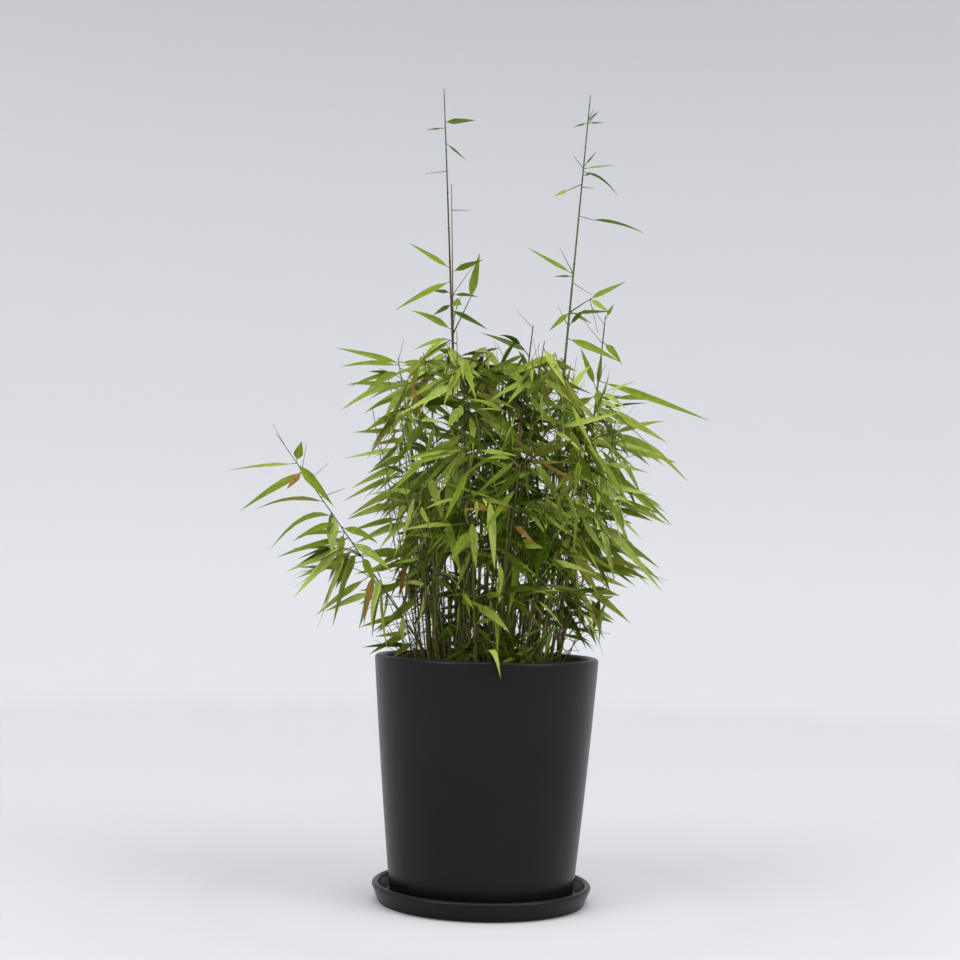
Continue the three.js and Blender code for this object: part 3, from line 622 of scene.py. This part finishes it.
def young_culm(kind, i, dice):
    """The next of the thin young canes, which stand in a spiral from the middle of the pot outward."""
    turn = i * GOLDEN_ANGLE + dice.either(YOUNG_FORM["turn"])
    out = aim(turn, 0)
    foot = lerp(*kind["foot"], math.sqrt((i + 0.5) / kind["count"]))
    outer_share = foot / kind["foot"][1]
    height = dice.roll(*kind["height"]) * lerp(YOUNG_FORM["inner"], YOUNG_FORM["outer"], outer_share)
    lean = height * kind["lean"] * dice.roll()
    sway = aim(dice.roll(0, 360), 0) * dice.roll(0, kind["sway"])
    tip = (foot + lean) * out + sway + [0, 0, CULM_FOOT + height]
    foot_radius, tip_radius = kind["radius"]
    return dict(turn=turn, foot=foot * out, tip=tip, foot_radius=foot_radius, tip_radius=tip_radius)


def grow_young(growth, kind):
    """Thin young canes among the others, each with a few sprays and some bare side twigs."""
    dice = Dice(kind["seed"])
    for i in range(kind["count"]):
        culm = young_culm(kind, i, dice)
        if barred(culm["tip"]):
            continue
        culm["bend"] = dice.roll(*YOUNG_FORM["bend"])
        growth.stem(*culm_path(culm, dice), "cane")
        for at in kind["sprays"]:
            for _ in range(YOUNG_SPRAY["tries"]):
                turn = culm["turn"] + dice.either(YOUNG_SPRAY["turn"])
                rise, length = dice.roll(*YOUNG_SPRAY["rise"]), dice.roll(*kind["twig"])
                count = YOUNG_SPRAY["leaves"] + int(2 * dice.roll())
                if grow_spray(growth, culm, on_axis(culm, at), turn, rise, length, count, dice,
                              YOUNG_SPRAY["limit"]):
                    break
            if dice.roll() < BARE_TWIG["share"]:
                for _ in range(2):
                    grow_bare_twig(growth, on_axis(culm, at * dice.roll(*BARE_TWIG["at"])), dice)


def grow_bare_twig(growth, start, dice, rise=BARE_TWIG["rise"]):
    end = start + aim(dice.roll(0, 360), dice.roll(*rise)) * dice.roll(*BARE_TWIG["length"])
    if not in_pot(end) and in_reach(end):
        growth.stem(curved(start, end, 0, 3), np.linspace(*BARE_TWIG["radius"], 3), "twig")


def place_leaf(growth, start, blade):
    """One leaf by name on its twig, or a bare needle where it has no width."""
    way = aim(blade["turn"], blade["rise"])
    root = start + way * blade["twig"]
    growth.stem(curved(start, root, 0, 3), STALK_TAPER if blade["width"] else NEEDLE_TAPER, "twig")
    if not blade["width"]:
        return
    dice = Dice(round(1000 * blade["at"]) + blade["length"])
    hue = blade["hue"] or leaf_hue("mid", dice)
    growth.leaf(root, blade["turn"], blade["rise"], blade["length"] - blade["twig"], blade["width"],
                blade["droop"], math.copysign(blade["roll"], way[0]), hue, twist=dice.either(14),
                fold=dice.roll(0.05, 0.25))


def place_leaves(growth, culm):
    """The leaves that a culm has by name, on its nodes and on its side shoots."""
    for blade in LEAVES.get(culm["name"], []):
        place_leaf(growth, on_axis(culm, blade["at"]), blade)
    for shoot in SHOOTS.get(culm["name"], []):
        start = on_axis(culm, shoot["at"])
        end = start + aim(shoot["turn"], shoot["rise"]) * shoot["length"]
        growth.stem(curved(start, end, 0, 6), np.linspace(*SHOOT_RADIUS, 6), "shoot")
        for blade in shoot["leaves"]:
            place_leaf(growth, start + (end - start) * blade["at"], blade)


# ---------- meshes ----------


def add_object(name, data):
    made = bpy.data.objects.new(name, data)
    bpy.context.scene.collection.objects.link(made)
    return made


def make_object(name, points, faces, materials, material_index, uv=None):
    """An object from points in millimetres and groups of faces, each group with its own number of corners."""
    mesh = bpy.data.meshes.new(name)
    points = np.asarray(points, np.float32).reshape(-1, 3) * MM
    mesh.from_pydata(points.tolist(), [], [face for group in faces for face in group.tolist()],
                     shade_flat=False)
    for material in materials:
        mesh.materials.append(material)
    mesh.polygons.foreach_set("material_index", np.asarray(material_index, np.int32))
    if uv is not None:
        corners = np.concatenate([group.ravel() for group in faces])
        mesh.uv_layers.new(name="UVMap").data.foreach_set("uv", np.asarray(uv, np.float32)[corners].ravel())
    mesh.validate()
    return add_object(name, mesh)


def stand_for(piece, nodes):
    """Every piece is fixed to the one body and takes the place of its CAD nodes."""
    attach(piece, "root")
    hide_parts(*nodes)


def ring_quads(rings, sides):
    """The quads between rings of points that have the same number of sides."""
    quads = []
    for low in range(0, (rings - 1) * sides, sides):
        high = low + sides
        for side in range(sides):
            after = (side + 1) % sides
            quads.append([low + side, low + after, high + after, high + side])
    return np.array(quads)


LEAF_RINGS = np.array([0.0, 0.05, 0.14, 0.27, 0.42, 0.58, 0.74, 0.88, 0.96])
LEAF_WIDEST = 0.3
LEAF_ACROSS = np.array([-1, -0.5, 0, 0.5, 1, 0])
LEAF_SIDES = len(LEAF_ACROSS)  # five points over the upper face and one in the middle of the under side
LEAF_POINTS = len(LEAF_RINGS) * LEAF_SIDES + 1
UNDER_FROM = 4  # from this side on, a ring's faces are on the under side
LEAF_THICKNESS = 0.35 * np.array([0, 0.5, 0.5, 0.5, 0, -0.5])
UNDER_HUES = {"fresh": "under", "mid": "under", "bright": "under_bright"}


def leaf_outline(share):
    """Half the leaf's width as a share of its widest, from a narrow foot to a long fine tip."""
    rising = np.sin(0.5 * np.pi * np.clip(share / LEAF_WIDEST, 0, 1)) ** 0.8
    after = np.clip((share - LEAF_WIDEST) / (1 - LEAF_WIDEST), 0, 1)
    falling = (1 - after) ** 1.1 * (1 + 0.45 * after)
    return np.where(share < LEAF_WIDEST, np.maximum(rising, 0.07), falling)


def leaf_points(leaves):
    """Rings of points for all leaves at once, and each leaf's tip."""
    columns = (np.array(column, float) for column in list(zip(*leaves))[:-1])
    root, turn, rise, length, width, droop, roll, bend, twist, fold = columns
    turn, rise, roll, twist = (np.radians(angle) for angle in (turn, rise, roll, twist))
    level = np.cos(rise)
    along = np.stack([level * np.cos(turn), level * np.sin(turn), np.sin(rise)], -1)
    flat = np.stack([-np.sin(turn), np.cos(turn), np.zeros_like(turn)], -1)
    upward = np.cross(along, flat)
    shares = np.append(LEAF_RINGS, 1.0)
    arch = shares * (1 - shares)
    middle = root[:, None] + along[:, None] * (length[:, None] * shares)[..., None]
    middle[..., 2] += 2 * (droop * length)[:, None] * arch
    middle += flat[:, None] * (4 * (bend * length)[:, None] * arch)[..., None]
    tip = middle[:, -1]
    middle = middle[:, :-1]
    ahead = unit(np.gradient(np.concatenate([middle, tip[:, None]], 1), axis=1))[:, :-1]
    angle = roll[:, None] + twist[:, None] * (LEAF_RINGS - LEAF_WIDEST)
    across = flat[:, None] * np.cos(angle)[..., None] + upward[:, None] * np.sin(angle)[..., None]
    across = unit(across - ahead * np.sum(across * ahead, -1, keepdims=True))
    normal = np.cross(ahead, across)
    half = (width[:, None] / 2) * leaf_outline(LEAF_RINGS)
    lift = np.abs(LEAF_ACROSS) * fold[:, None]
    points = middle[:, :, None] + across[:, :, None] * (half[..., None] * LEAF_ACROSS)[..., None]
    points += normal[:, :, None] * (half[..., None] * lift[:, None])[..., None]
    points += normal[:, :, None] * LEAF_THICKNESS[:, None]
    return points, tip


def leaf_object(name, leaves, materials):
    """One joined mesh of leaves. Upper faces take their spray's colour and the under side is paler."""
    points, tips = leaf_points(leaves)
    count = len(leaves)
    block = np.concatenate([points.reshape(count, -1, 3), tips[:, None]], 1)
    quads = ring_quads(len(LEAF_RINGS), LEAF_SIDES)[:, [0, 3, 2, 1]]
    side = np.arange(LEAF_SIDES)
    last_ring = LEAF_POINTS - 1 - LEAF_SIDES + side
    tip_faces = np.stack([last_ring, np.full(LEAF_SIDES, LEAF_POINTS - 1), np.roll(last_ring, -1)], -1)
    foot_face = side[None, ::-1]
    first_point = (np.arange(count) * LEAF_POINTS)[:, None, None]
    faces = [(first_point + group).reshape(-1, group.shape[1]) for group in (quads, tip_faces, foot_face)]

    names = list(LEAF_COLOURS)
    upper_index = np.array([names.index(one[-1]) for one in leaves])[:, None]
    under_index = np.array([names.index(UNDER_HUES.get(one[-1], one[-1])) for one in leaves])[:, None]
    is_under = side >= UNDER_FROM
    index = [np.where(under, under_index, upper_index).ravel()
             for under in (np.tile(is_under, len(LEAF_RINGS) - 1), is_under, [False])]
    across = np.tile((LEAF_ACROSS + 1) / 2, len(LEAF_RINGS))
    along = np.repeat(LEAF_RINGS, LEAF_SIDES)
    uv = np.tile(np.append(np.stack([across, along], -1), [[0.5, 1.0]], 0), (count, 1))
    made = make_object(name, block, faces, materials, np.concatenate(index), uv)
    sharpen_margins(made.data)
    return made


def sharpen_margins(mesh):
    """Keeps the shading of a leaf's two sides apart along both of its margins."""
    ends = np.zeros(2 * len(mesh.edges), np.int32)
    mesh.edges.foreach_get("vertices", ends)
    place = ends.reshape(-1, 2) % LEAF_POINTS
    is_tip = place == LEAF_POINTS - 1
    side = np.where(is_tip, place[:, ::-1] % LEAF_SIDES, place % LEAF_SIDES)
    sharp = (side[:, 0] == side[:, 1]) & np.isin(side[:, 0], (0, UNDER_FROM))
    mesh.edges.foreach_set("use_edge_sharp", sharp)
    mesh.update()


def tube_points(points, radii, sides):
    """Rings of points round a path."""
    ahead = unit(np.gradient(points, axis=0))
    aside = np.array([0.0, 1.0, 0.0]) if abs(ahead[0][2]) > 0.7 else np.array([0.0, 0.0, 1.0])
    across = unit(np.cross(aside, ahead))
    other = np.cross(ahead, across)
    angle = np.arange(sides) * 2 * math.pi / sides
    ring = across[:, None] * np.cos(angle)[None, :, None] + other[:, None] * np.sin(angle)[None, :, None]
    return (points[:, None] + ring * radii[:, None, None]).reshape(-1, 3)


def tubes_object(name, stems, sides, materials, index_of):
    """Many capped tubes joined in one mesh. index_of gives the material of each stretch of a stem."""
    points, quads, caps, quad_index, cap_index = [], [], [], [], []
    offset = 0
    ring = np.arange(sides)
    for path, radii, kind in stems:
        stretches = index_of(path, kind)
        points.append(tube_points(path, radii, sides))
        quads.append(ring_quads(len(path), sides) + offset)
        caps.append(np.array([ring[::-1], ring + (len(path) - 1) * sides]) + offset)
        quad_index.append(np.repeat(stretches, sides))
        cap_index.append([stretches[0], stretches[-1]])
        offset += len(points[-1])
    return make_object(name, np.concatenate(points), [np.concatenate(quads), np.concatenate(caps)], materials,
                       np.concatenate(quad_index + cap_index))


INTERNODE = (34, 58)
NODE_PROFILE = [(-2.6, 1.0), (-1.2, 1.12), (-0.3, 1.34), (0.5, 1.16), (1.5, 0.94), (4.0, 0.98)]
FIRST_NODE, LAST_NODE = (9, 22), 8  # above the foot of a cane, and below its tip
BETWEEN_NODES, TIP_SHARE = 0.99, 0.8  # shares of the even radius
BELOW_SOIL = 6


def culm_path(culm, dice):
    """Stations up a culm, with a swollen ring and a scar at each of its nodes."""
    span = culm["tip"][2] - CULM_FOOT
    stations = [(-BELOW_SOIL, 1.0), (0, 1.0)]
    level = dice.roll(*FIRST_NODE)
    while level < span - LAST_NODE:
        stations += [(level + offset, scale) for offset, scale in NODE_PROFILE]
        step = dice.roll(*INTERNODE)
        stations.append((level + step / 2, BETWEEN_NODES))
        level += step
    stations = [one for one in stations if one[0] < span - 1] + [(span, TIP_SHARE)]
    stations.sort(key=lambda one: one[0])
    points = [on_axis(culm, max(0, height) / span) + [0, 0, min(0, height)] for height, _ in stations]
    radii = [culm_radius(culm, max(0, height) / span) * scale for height, scale in stations]
    return points, radii


def lathe(name, corners, materials, index_of=None, sides=ROUND_SIDES):
    """A profile of (radius, height) corners turned about the axis, closed at its two ends on the axis."""
    inner = np.array(corners[1:-1], float)
    angle = np.arange(sides) * 2 * math.pi / sides
    rings = np.stack([inner[:, 0, None] * np.cos(angle), inner[:, 0, None] * np.sin(angle),
                      np.repeat(inner[:, 1, None], sides, 1)], -1)
    points = np.concatenate([rings.reshape(-1, 3), [[0, 0, corners[0][1]], [0, 0, corners[-1][1]]]])
    foot = np.arange(sides)
    top = foot + (len(inner) - 1) * sides
    low, high = (np.full(sides, len(points) - end) for end in (2, 1))
    tris = np.concatenate([np.stack([low, np.roll(foot, -1), foot], -1),
                           np.stack([high, top, np.roll(top, -1)], -1)])
    bands = [*zip(inner[:-1], inner[1:]), corners[:2], corners[-2:]]
    index = np.repeat([index_of(*band) if index_of else 0 for band in bands], sides)
    return make_object(name, points, [ring_quads(len(inner), sides), tris], materials, index)


def rounded(centre_radius, centre_height, radius, start, end, steps):
    """A round between two directions, for a lip or a foot."""
    angles = np.radians(np.linspace(start, end, steps + 1))
    return [(centre_radius + radius * math.cos(a), centre_height + radius * math.sin(a)) for a in angles]


def straight(start, end, steps):
    return [tuple(lerp(np.array(start), np.array(end), i / steps)) for i in range(1, steps)]


def vessel(low, high, rim_radius, foot_radius, wall, floor, rounding, belly=0.0):
    """The profile of a tapered pot or saucer, from the middle of its underside to that of its floor."""
    lip = wall / 2
    foot = rounded(foot_radius - rounding, low + rounding, rounding, -90, 0, 6)
    rim = rounded(rim_radius - lip, high - lip, lip, 0, 180, 14)
    inside = (foot_radius - wall, low + floor)
    side = [(radius + belly * math.sin(math.pi * (height - low) / (high - low)), height)
            for radius, height in straight(foot[-1], rim[0], 16)]
    return [(0, low), (foot_radius * 0.5, low), (foot_radius - rounding - 6, low), *foot, *side, *rim,
            *straight(rim[-1], inside, 10), inside, (foot_radius * 0.5, low + floor), (0, low + floor)]


# ---------- materials ----------


def new_material(name, roughness, specular=0.5):
    made = bpy.data.materials.new(name)
    made.use_nodes = True
    shader = made.node_tree.nodes["Principled BSDF"]
    shader.inputs["Roughness"].default_value = roughness
    shader.inputs["Specular IOR Level"].default_value = specular
    return made, made.node_tree, shader


def add_node(tree, kind, **values):
    """A shader node with some of its inputs set by name."""
    node = tree.nodes.new(f"ShaderNode{kind}")
    for name, value in values.items():
        node.inputs[name].default_value = value
    return node


def link(tree, source, output, target, name):
    tree.links.new(source.outputs[output], target.inputs[name])


def colour_between(tree, source, dark, light, low, high, shader):
    """The shader's colour runs from dark to light as the source goes from low to high."""
    ramp = add_node(tree, "ValToRGB")
    for element, place, colour in zip(ramp.color_ramp.elements, (low, high), (dark, light)):
        element.position = place
        element.color = (*colour, 1)
    link(tree, source, "Fac", ramp, "Fac")
    link(tree, ramp, "Color", shader, "Base Color")


def add_relief(tree, source, strength, distance, shader):
    relief = add_node(tree, "Bump", Strength=strength, Distance=distance)
    link(tree, source, "Fac", relief, "Height")
    link(tree, relief, "Normal", shader, "Normal")


def mottled(name, dark, light, scale, roughness, bump=0.1, bump_scale=None, specular=0.5, distance=0.0004):
    """A surface whose colour wanders between two close colours, with fine relief of the same kind."""
    made, tree, shader = new_material(name, roughness, specular)
    place = add_node(tree, "TexCoord")
    noise = add_node(tree, "TexNoise", Scale=scale, Detail=6)
    fine = add_node(tree, "TexNoise", Scale=bump_scale or scale * 6, Detail=4)
    link(tree, place, "Object", noise, "Vector")
    link(tree, place, "Object", fine, "Vector")
    colour_between(tree, noise, dark, light, 0.32, 0.68, shader)
    add_relief(tree, fine, bump, distance, shader)
    return made


LEAF_COLOURS = {
    "deep": (0.046, 0.078, 0.003),
    "mid": (0.134, 0.187, 0.014),
    "fresh": (0.206, 0.262, 0.034),
    "bright": (0.292, 0.364, 0.075),
    "olive": (0.160, 0.168, 0.024),
    "brown": (0.250, 0.136, 0.036),
    "under": (0.150, 0.205, 0.030),
    "under_bright": (0.200, 0.260, 0.046),
}
LEAF_ROUGHNESS = {"under": 0.55, "under_bright": 0.55, "brown": 0.7}
LEAF_MOTTLE = {"brown": 0.6}  # how far the streaks are from the leaf's colour


def leaf_material(hue):
    """A satin blade: a colour that wanders in streaks along the leaf, and fine ribs."""
    mottle = LEAF_MOTTLE.get(hue, 0.34)
    dark, light = ([channel * (1 + change) for channel in LEAF_COLOURS[hue]] for change in (-mottle, mottle))
    made, tree, shader = new_material(f"leaf_{hue}", LEAF_ROUGHNESS.get(hue, 0.42), specular=0.05)
    place = add_node(tree, "TexCoord")
    stretch = add_node(tree, "Mapping", Scale=(5, 1.6, 1))
    streaks = add_node(tree, "TexNoise", Scale=1, Detail=3)
    streaks.noise_dimensions = "4D"
    link(tree, place, "UV", stretch, "Vector")
    link(tree, stretch, "Vector", streaks, "Vector")
    colour_between(tree, streaks, dark, light, 0.3, 0.7, shader)

    # The streaks differ from leaf to leaf with its place in the clump
    wander = add_node(tree, "TexNoise", Scale=22)
    strongly = add_node(tree, "Math")
    strongly.operation = "MULTIPLY"
    strongly.inputs[1].default_value = 30
    link(tree, place, "Object", wander, "Vector")
    link(tree, wander, "Fac", strongly, 0)
    link(tree, strongly, "Value", streaks, "W")

    ribs = add_node(tree, "TexWave", Scale=3.5, Distortion=0.4)
    ribs.bands_direction = "X"
    link(tree, place, "UV", ribs, "Vector")
    add_relief(tree, ribs, 0.25, 0.0003, shader)
    return made


# ---------- camera, light and backdrop ----------

CAMERA_PLACE = Vector((-0.014, -2.0228, 0.4142))
CAMERA_PITCH, CAMERA_ROLL, CAMERA_LENS = 0.054, 0.0252, 60.2


def add_camera():
    data = bpy.data.cameras.new("camera")
    data.lens = CAMERA_LENS
    data.sensor_width = 36
    made = add_object("camera", data)
    turn = Matrix.Rotation(math.pi / 2 + CAMERA_PITCH, 4, "X") @ Matrix.Rotation(CAMERA_ROLL, 4, "Z")
    made.matrix_world = Matrix.Translation(CAMERA_PLACE) @ turn
    bpy.context.scene.camera = made


# Each lamp's place, the height on the axis that it points to, its width and depth, and its power
SOFTBOXES = {
    "key": ((-1.5, -1.3, 1.75), 0.5, (1.2, 1.2), 21),
    "fill": ((1.7, -1.0, 1.5), 0.5, (1.1, 1.4), 19),
    "top": ((0.1, -0.1, 2.1), 0.3, (1.3, 1.3), 27),
}
SKY_COLOUR, SKY_STRENGTH = (0.97, 0.985, 1.0, 1), 0.98


def add_softbox(name, place, target_height, size, power):
    data = bpy.data.lights.new(name, "AREA")
    data.shape = "RECTANGLE"
    data.size, data.size_y = size
    data.energy = power
    made = add_object(name, data)
    made.location = place
    way = Vector((0, 0, target_height)) - Vector(place)
    made.rotation_euler = way.to_track_quat("-Z", "Y").to_euler()
    made.visible_camera = False


def add_light():
    bpy.context.scene.view_settings.view_transform = "Standard"
    world = bpy.data.worlds.new("studio")
    bpy.context.scene.world = world
    world.use_nodes = True
    sky = world.node_tree.nodes["Background"]
    sky.inputs["Color"].default_value = SKY_COLOUR
    sky.inputs["Strength"].default_value = SKY_STRENGTH
    for name, box in SOFTBOXES.items():
        add_softbox(name, *box)


PAPER_REACH = 4.4  # metres from the middle of the pot to the end of the greys
# The paper's greys by reach are painted light and shade: lighter right round the pot as painted light against
# its shadow, greyer under the lamps and high up on the wall as painted shade.
PAPER_NEAR_PAINTED_LIGHT, PAPER_FAR_PAINTED_SHADE = (0.60, 0.603, 0.618, 1), (0.66, 0.665, 0.685, 1)
PAPER_PAINTED_LIGHT_AND_SHADE = {0.04: 0.59, 0.075: 0.495, 0.11: 0.485, 0.20: 0.555, 0.50: 0.76, 0.66: 0.835, 0.78: 0.80}
PAPER_TINT = np.array([1, 1.006, 1.03])
SWEEP = {"floor": 2700, "bend": 900, "top": 3600, "thick": 10}


def backdrop_paper_painted_light_and_shade():
    """Pale paper with painted light and shade: greyer under the lamps and high up on the wall as painted
    shade, and lighter right round the pot as painted light against the pot's shadow on the floor.
    """
    made, tree, shader = new_material("backdrop_paper_painted_light_and_shade", 0.9)
    place = add_node(tree, "TexCoord")
    out = add_node(tree, "VectorMath")
    out.operation = "LENGTH"
    share = add_node(tree, "MapRange")
    share.inputs["From Max"].default_value = PAPER_REACH
    shade = add_node(tree, "ValToRGB")
    shade.color_ramp.elements[0].color = PAPER_NEAR_PAINTED_LIGHT
    shade.color_ramp.elements[1].color = PAPER_FAR_PAINTED_SHADE
    for reach, grey in PAPER_PAINTED_LIGHT_AND_SHADE.items():
        shade.color_ramp.elements.new(reach).color = (*grey * PAPER_TINT, 1)
    link(tree, place, "Object", out, 0)
    link(tree, out, "Value", share, "Value")
    link(tree, share, "Result", shade, "Fac")
    link(tree, shade, "Color", shader, "Base Color")
    return made


def add_backdrop():
    """A round studio sweep: the floor curves up into a wall on all sides."""
    bend, top, thick = SWEEP["bend"], SWEEP["top"], SWEEP["thick"]
    wall = SWEEP["floor"] + bend
    corners = [(0, 0), (1000, 0), (2000, 0), *rounded(SWEEP["floor"], bend, bend, -90, 0, 16), (wall, top),
               (wall + thick, top), (wall + thick, -thick), (0, -thick)]
    made = lathe("backdrop", corners, [backdrop_paper_painted_light_and_shade()], sides=96)
    made.data.flip_normals()


# ---------- the plant and its pot ----------

GLAZE, CLAY = range(2)


def pot_clay(low, high):
    """Inside the pot, the clay is bare below the glaze that runs over the lip."""
    inside = max(low[0], high[0]) < RIM_RADIUS - POT_WALL / 2 and min(low[1], high[1]) < RIM - INSIDE_GLAZE
    outside = abs(low[1] - high[1]) > 1 and low[1] < high[1]
    return CLAY if inside and not outside and low[1] > POT_LOW[2] + 1 else GLAZE


def saucer_clay(low, high):
    return CLAY if max(low[1], high[1]) <= SAUCER_LOW[2] + BARE_CLAY_BAND else GLAZE


def make_vessels():
    glaze = mottled("matt_black_glaze", (0.0065, 0.0058, 0.0058), (0.0090, 0.0080, 0.0080), 9, 0.32,
                    bump=0.05, bump_scale=420, specular=0.17)
    clay = mottled("bare_clay", (0.085, 0.045, 0.028), (0.125, 0.070, 0.045), 60, 0.85, bump=0.3)
    pot = vessel(POT_LOW[2], POT_HIGH[2], RIM_RADIUS, POT_FOOT_RADIUS, POT_WALL, POT_FLOOR,
                 FOOT_ROUNDING["pot"], POT_BELLY)
    saucer = vessel(SAUCER_LOW[2], SAUCER_HIGH[2], SAUCER_HIGH[0], SAUCER_FOOT_RADIUS, SAUCER_WALL,
                    SAUCER_FLOOR, FOOT_ROUNDING["saucer"])
    for name, profile, index_of in (("pot", pot, pot_clay), ("saucer", saucer, saucer_clay)):
        stand_for(lathe(f"glazed_{name}", profile, [glaze, clay], index_of), [name])


SOIL_SIDES, SOIL_RINGS, SOIL_WAVES = 120, 46, 24
SOIL_DIP = {"mean": 1.8, "wave": 0.45, "most": 4}


def make_soil():
    """Crumbly soil: a wavy top inside the pot, down to its floor."""
    dark = mottled("potting_soil", (0.010, 0.006, 0.004), (0.050, 0.030, 0.018), 160, 0.95, bump=0.9,
                   bump_scale=700, distance=0.002)
    dice = Dice(77)
    waves = [(dice.roll(0.02, 0.12), dice.roll(0, 6.3), dice.roll(0, 6.3)) for _ in range(SOIL_WAVES)]
    corners = [(0, SOIL_LOW[2]), (POT_FOOT_RADIUS - POT_WALL - 1, SOIL_LOW[2])]
    corners += [(SOIL_HIGH[0] * share, SOIL_TOP) for share in np.linspace(1, 0.02, SOIL_RINGS)]
    made = lathe("soil_bed", [*corners, (0, SOIL_TOP)], [dark], sides=SOIL_SIDES)
    for vertex in made.data.vertices:
        x, y, z = (value / MM for value in vertex.co)
        if z > SOIL_TOP - 1:
            wave = sum(math.sin(pitch * (x * math.cos(way) + y * math.sin(way)) + phase)
                       for pitch, way, phase in waves)
            wave = max(-SOIL_DIP["most"], min(SOIL_DIP["most"], wave))
            vertex.co.z -= (SOIL_DIP["mean"] + SOIL_DIP["wave"] * wave) * MM
    stand_for(made, ["soil"])


GREEN, PURPLE, STRAW = range(3)
PURPLE_SHARE = 0.25
SHEATHS = {"low": 0.26, "high": 0.12, "low_to": 160, "up_to": 330}  # heights above the soil
GREEN_UP_TO = 570  # above the soil, on the right leader
LEAST_INTERNODE = 8
TWIG_PURPLE, TWIG_STRAW = 0.34, 0.56


def cane_materials():
    colours = {
        "green": ((0.052, 0.066, 0.010), (0.112, 0.125, 0.024), 0.55),
        "purple": ((0.044, 0.028, 0.018), (0.090, 0.060, 0.034), 0.55),
        "straw": ((0.110, 0.080, 0.026), (0.235, 0.178, 0.066), 0.6),
    }
    return [mottled(f"cane_{name}", dark, light, 60, roughness, specular=0.14)
            for name, (dark, light, roughness) in colours.items()]


def cane_index(path, kind):
    """The colour of each stretch of a cane: some straw sheaths below, plain green or purple-brown above."""
    dice = Dice(round(abs(path[0][0]) * 131 + abs(path[0][1]) * 17 + len(path)))
    base = PURPLE if kind != "green" and dice.roll() < PURPLE_SHARE else GREEN
    index = []
    for low, high in zip(path[:-1], path[1:]):
        if high[2] - low[2] <= LEAST_INTERNODE:
            index.append(index[-1] if index else base)
            continue
        height = low[2] - SOIL_TOP
        in_sheath = dice.roll() < (SHEATHS["low"] if height < SHEATHS["low_to"] else SHEATHS["high"])
        if height <= SHEATHS["up_to"]:
            index.append(STRAW if in_sheath else base)
        elif kind == "leader":
            index.append(PURPLE if path[0][0] < 0 or height > GREEN_UP_TO else GREEN)
        else:
            index.append(base)
    return np.array(index)


def twig_index(path, kind):
    """Twigs are green, purple-brown or straw, each in one colour."""
    share = Dice(round(abs(path[-1][0]) * 57 + abs(path[-1][2]) * 23)).roll()
    colour = PURPLE if share < TWIG_PURPLE else STRAW if share < TWIG_STRAW else GREEN
    return np.full(len(path) - 1, colour)


def cane_kind(culm):
    if culm["tip"][2] > TALL:
        return "leader"
    return "green" if culm["name"] == "arm" else "cane"


def grow_plant():
    growth = Growth()
    dice = Dice(913)
    for node in sorted(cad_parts):
        if node.startswith("culm_bare"):
            growth.stem(*culm_path(bare_culm(node), dice), "cane")
    for culm in crown_culms():
        growth.stem(*culm_path(culm, dice), cane_kind(culm))
        place_leaves(growth, culm)
        grow_foliage(growth, culm)
    for kind in YOUNG:
        grow_young(growth, kind)
    return growth


LEAVES_A_PIECE = 1800  # keeps each piece of leaves under 200,000 triangles
CANE_SIDES, TWIG_SIDES = 10, 5


def make_plant():
    colours = cane_materials()
    leaf_materials = [leaf_material(hue) for hue in LEAF_COLOURS]
    growth = grow_plant()
    canes = [stem for stem in growth.stems if stem[2] != "twig"]
    twigs = [stem for stem in growth.stems if stem[2] == "twig"]
    culm_nodes = [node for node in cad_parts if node.startswith("culm_")]
    foliage_nodes = [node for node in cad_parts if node.startswith("foliage_")]
    stand_for(tubes_object("canes", canes, CANE_SIDES, colours, cane_index), culm_nodes)
    stand_for(tubes_object("twigs", twigs, TWIG_SIDES, colours, twig_index), foliage_nodes)
    for first in range(0, len(growth.leaves), LEAVES_A_PIECE):
        leaves = growth.leaves[first:first + LEAVES_A_PIECE]
        piece = leaf_object(f"leaves_{first // LEAVES_A_PIECE + 1}", leaves, leaf_materials)
        stand_for(piece, foliage_nodes)


add_camera()
add_backdrop()
add_light()
make_vessels()
make_soil()
make_plant()
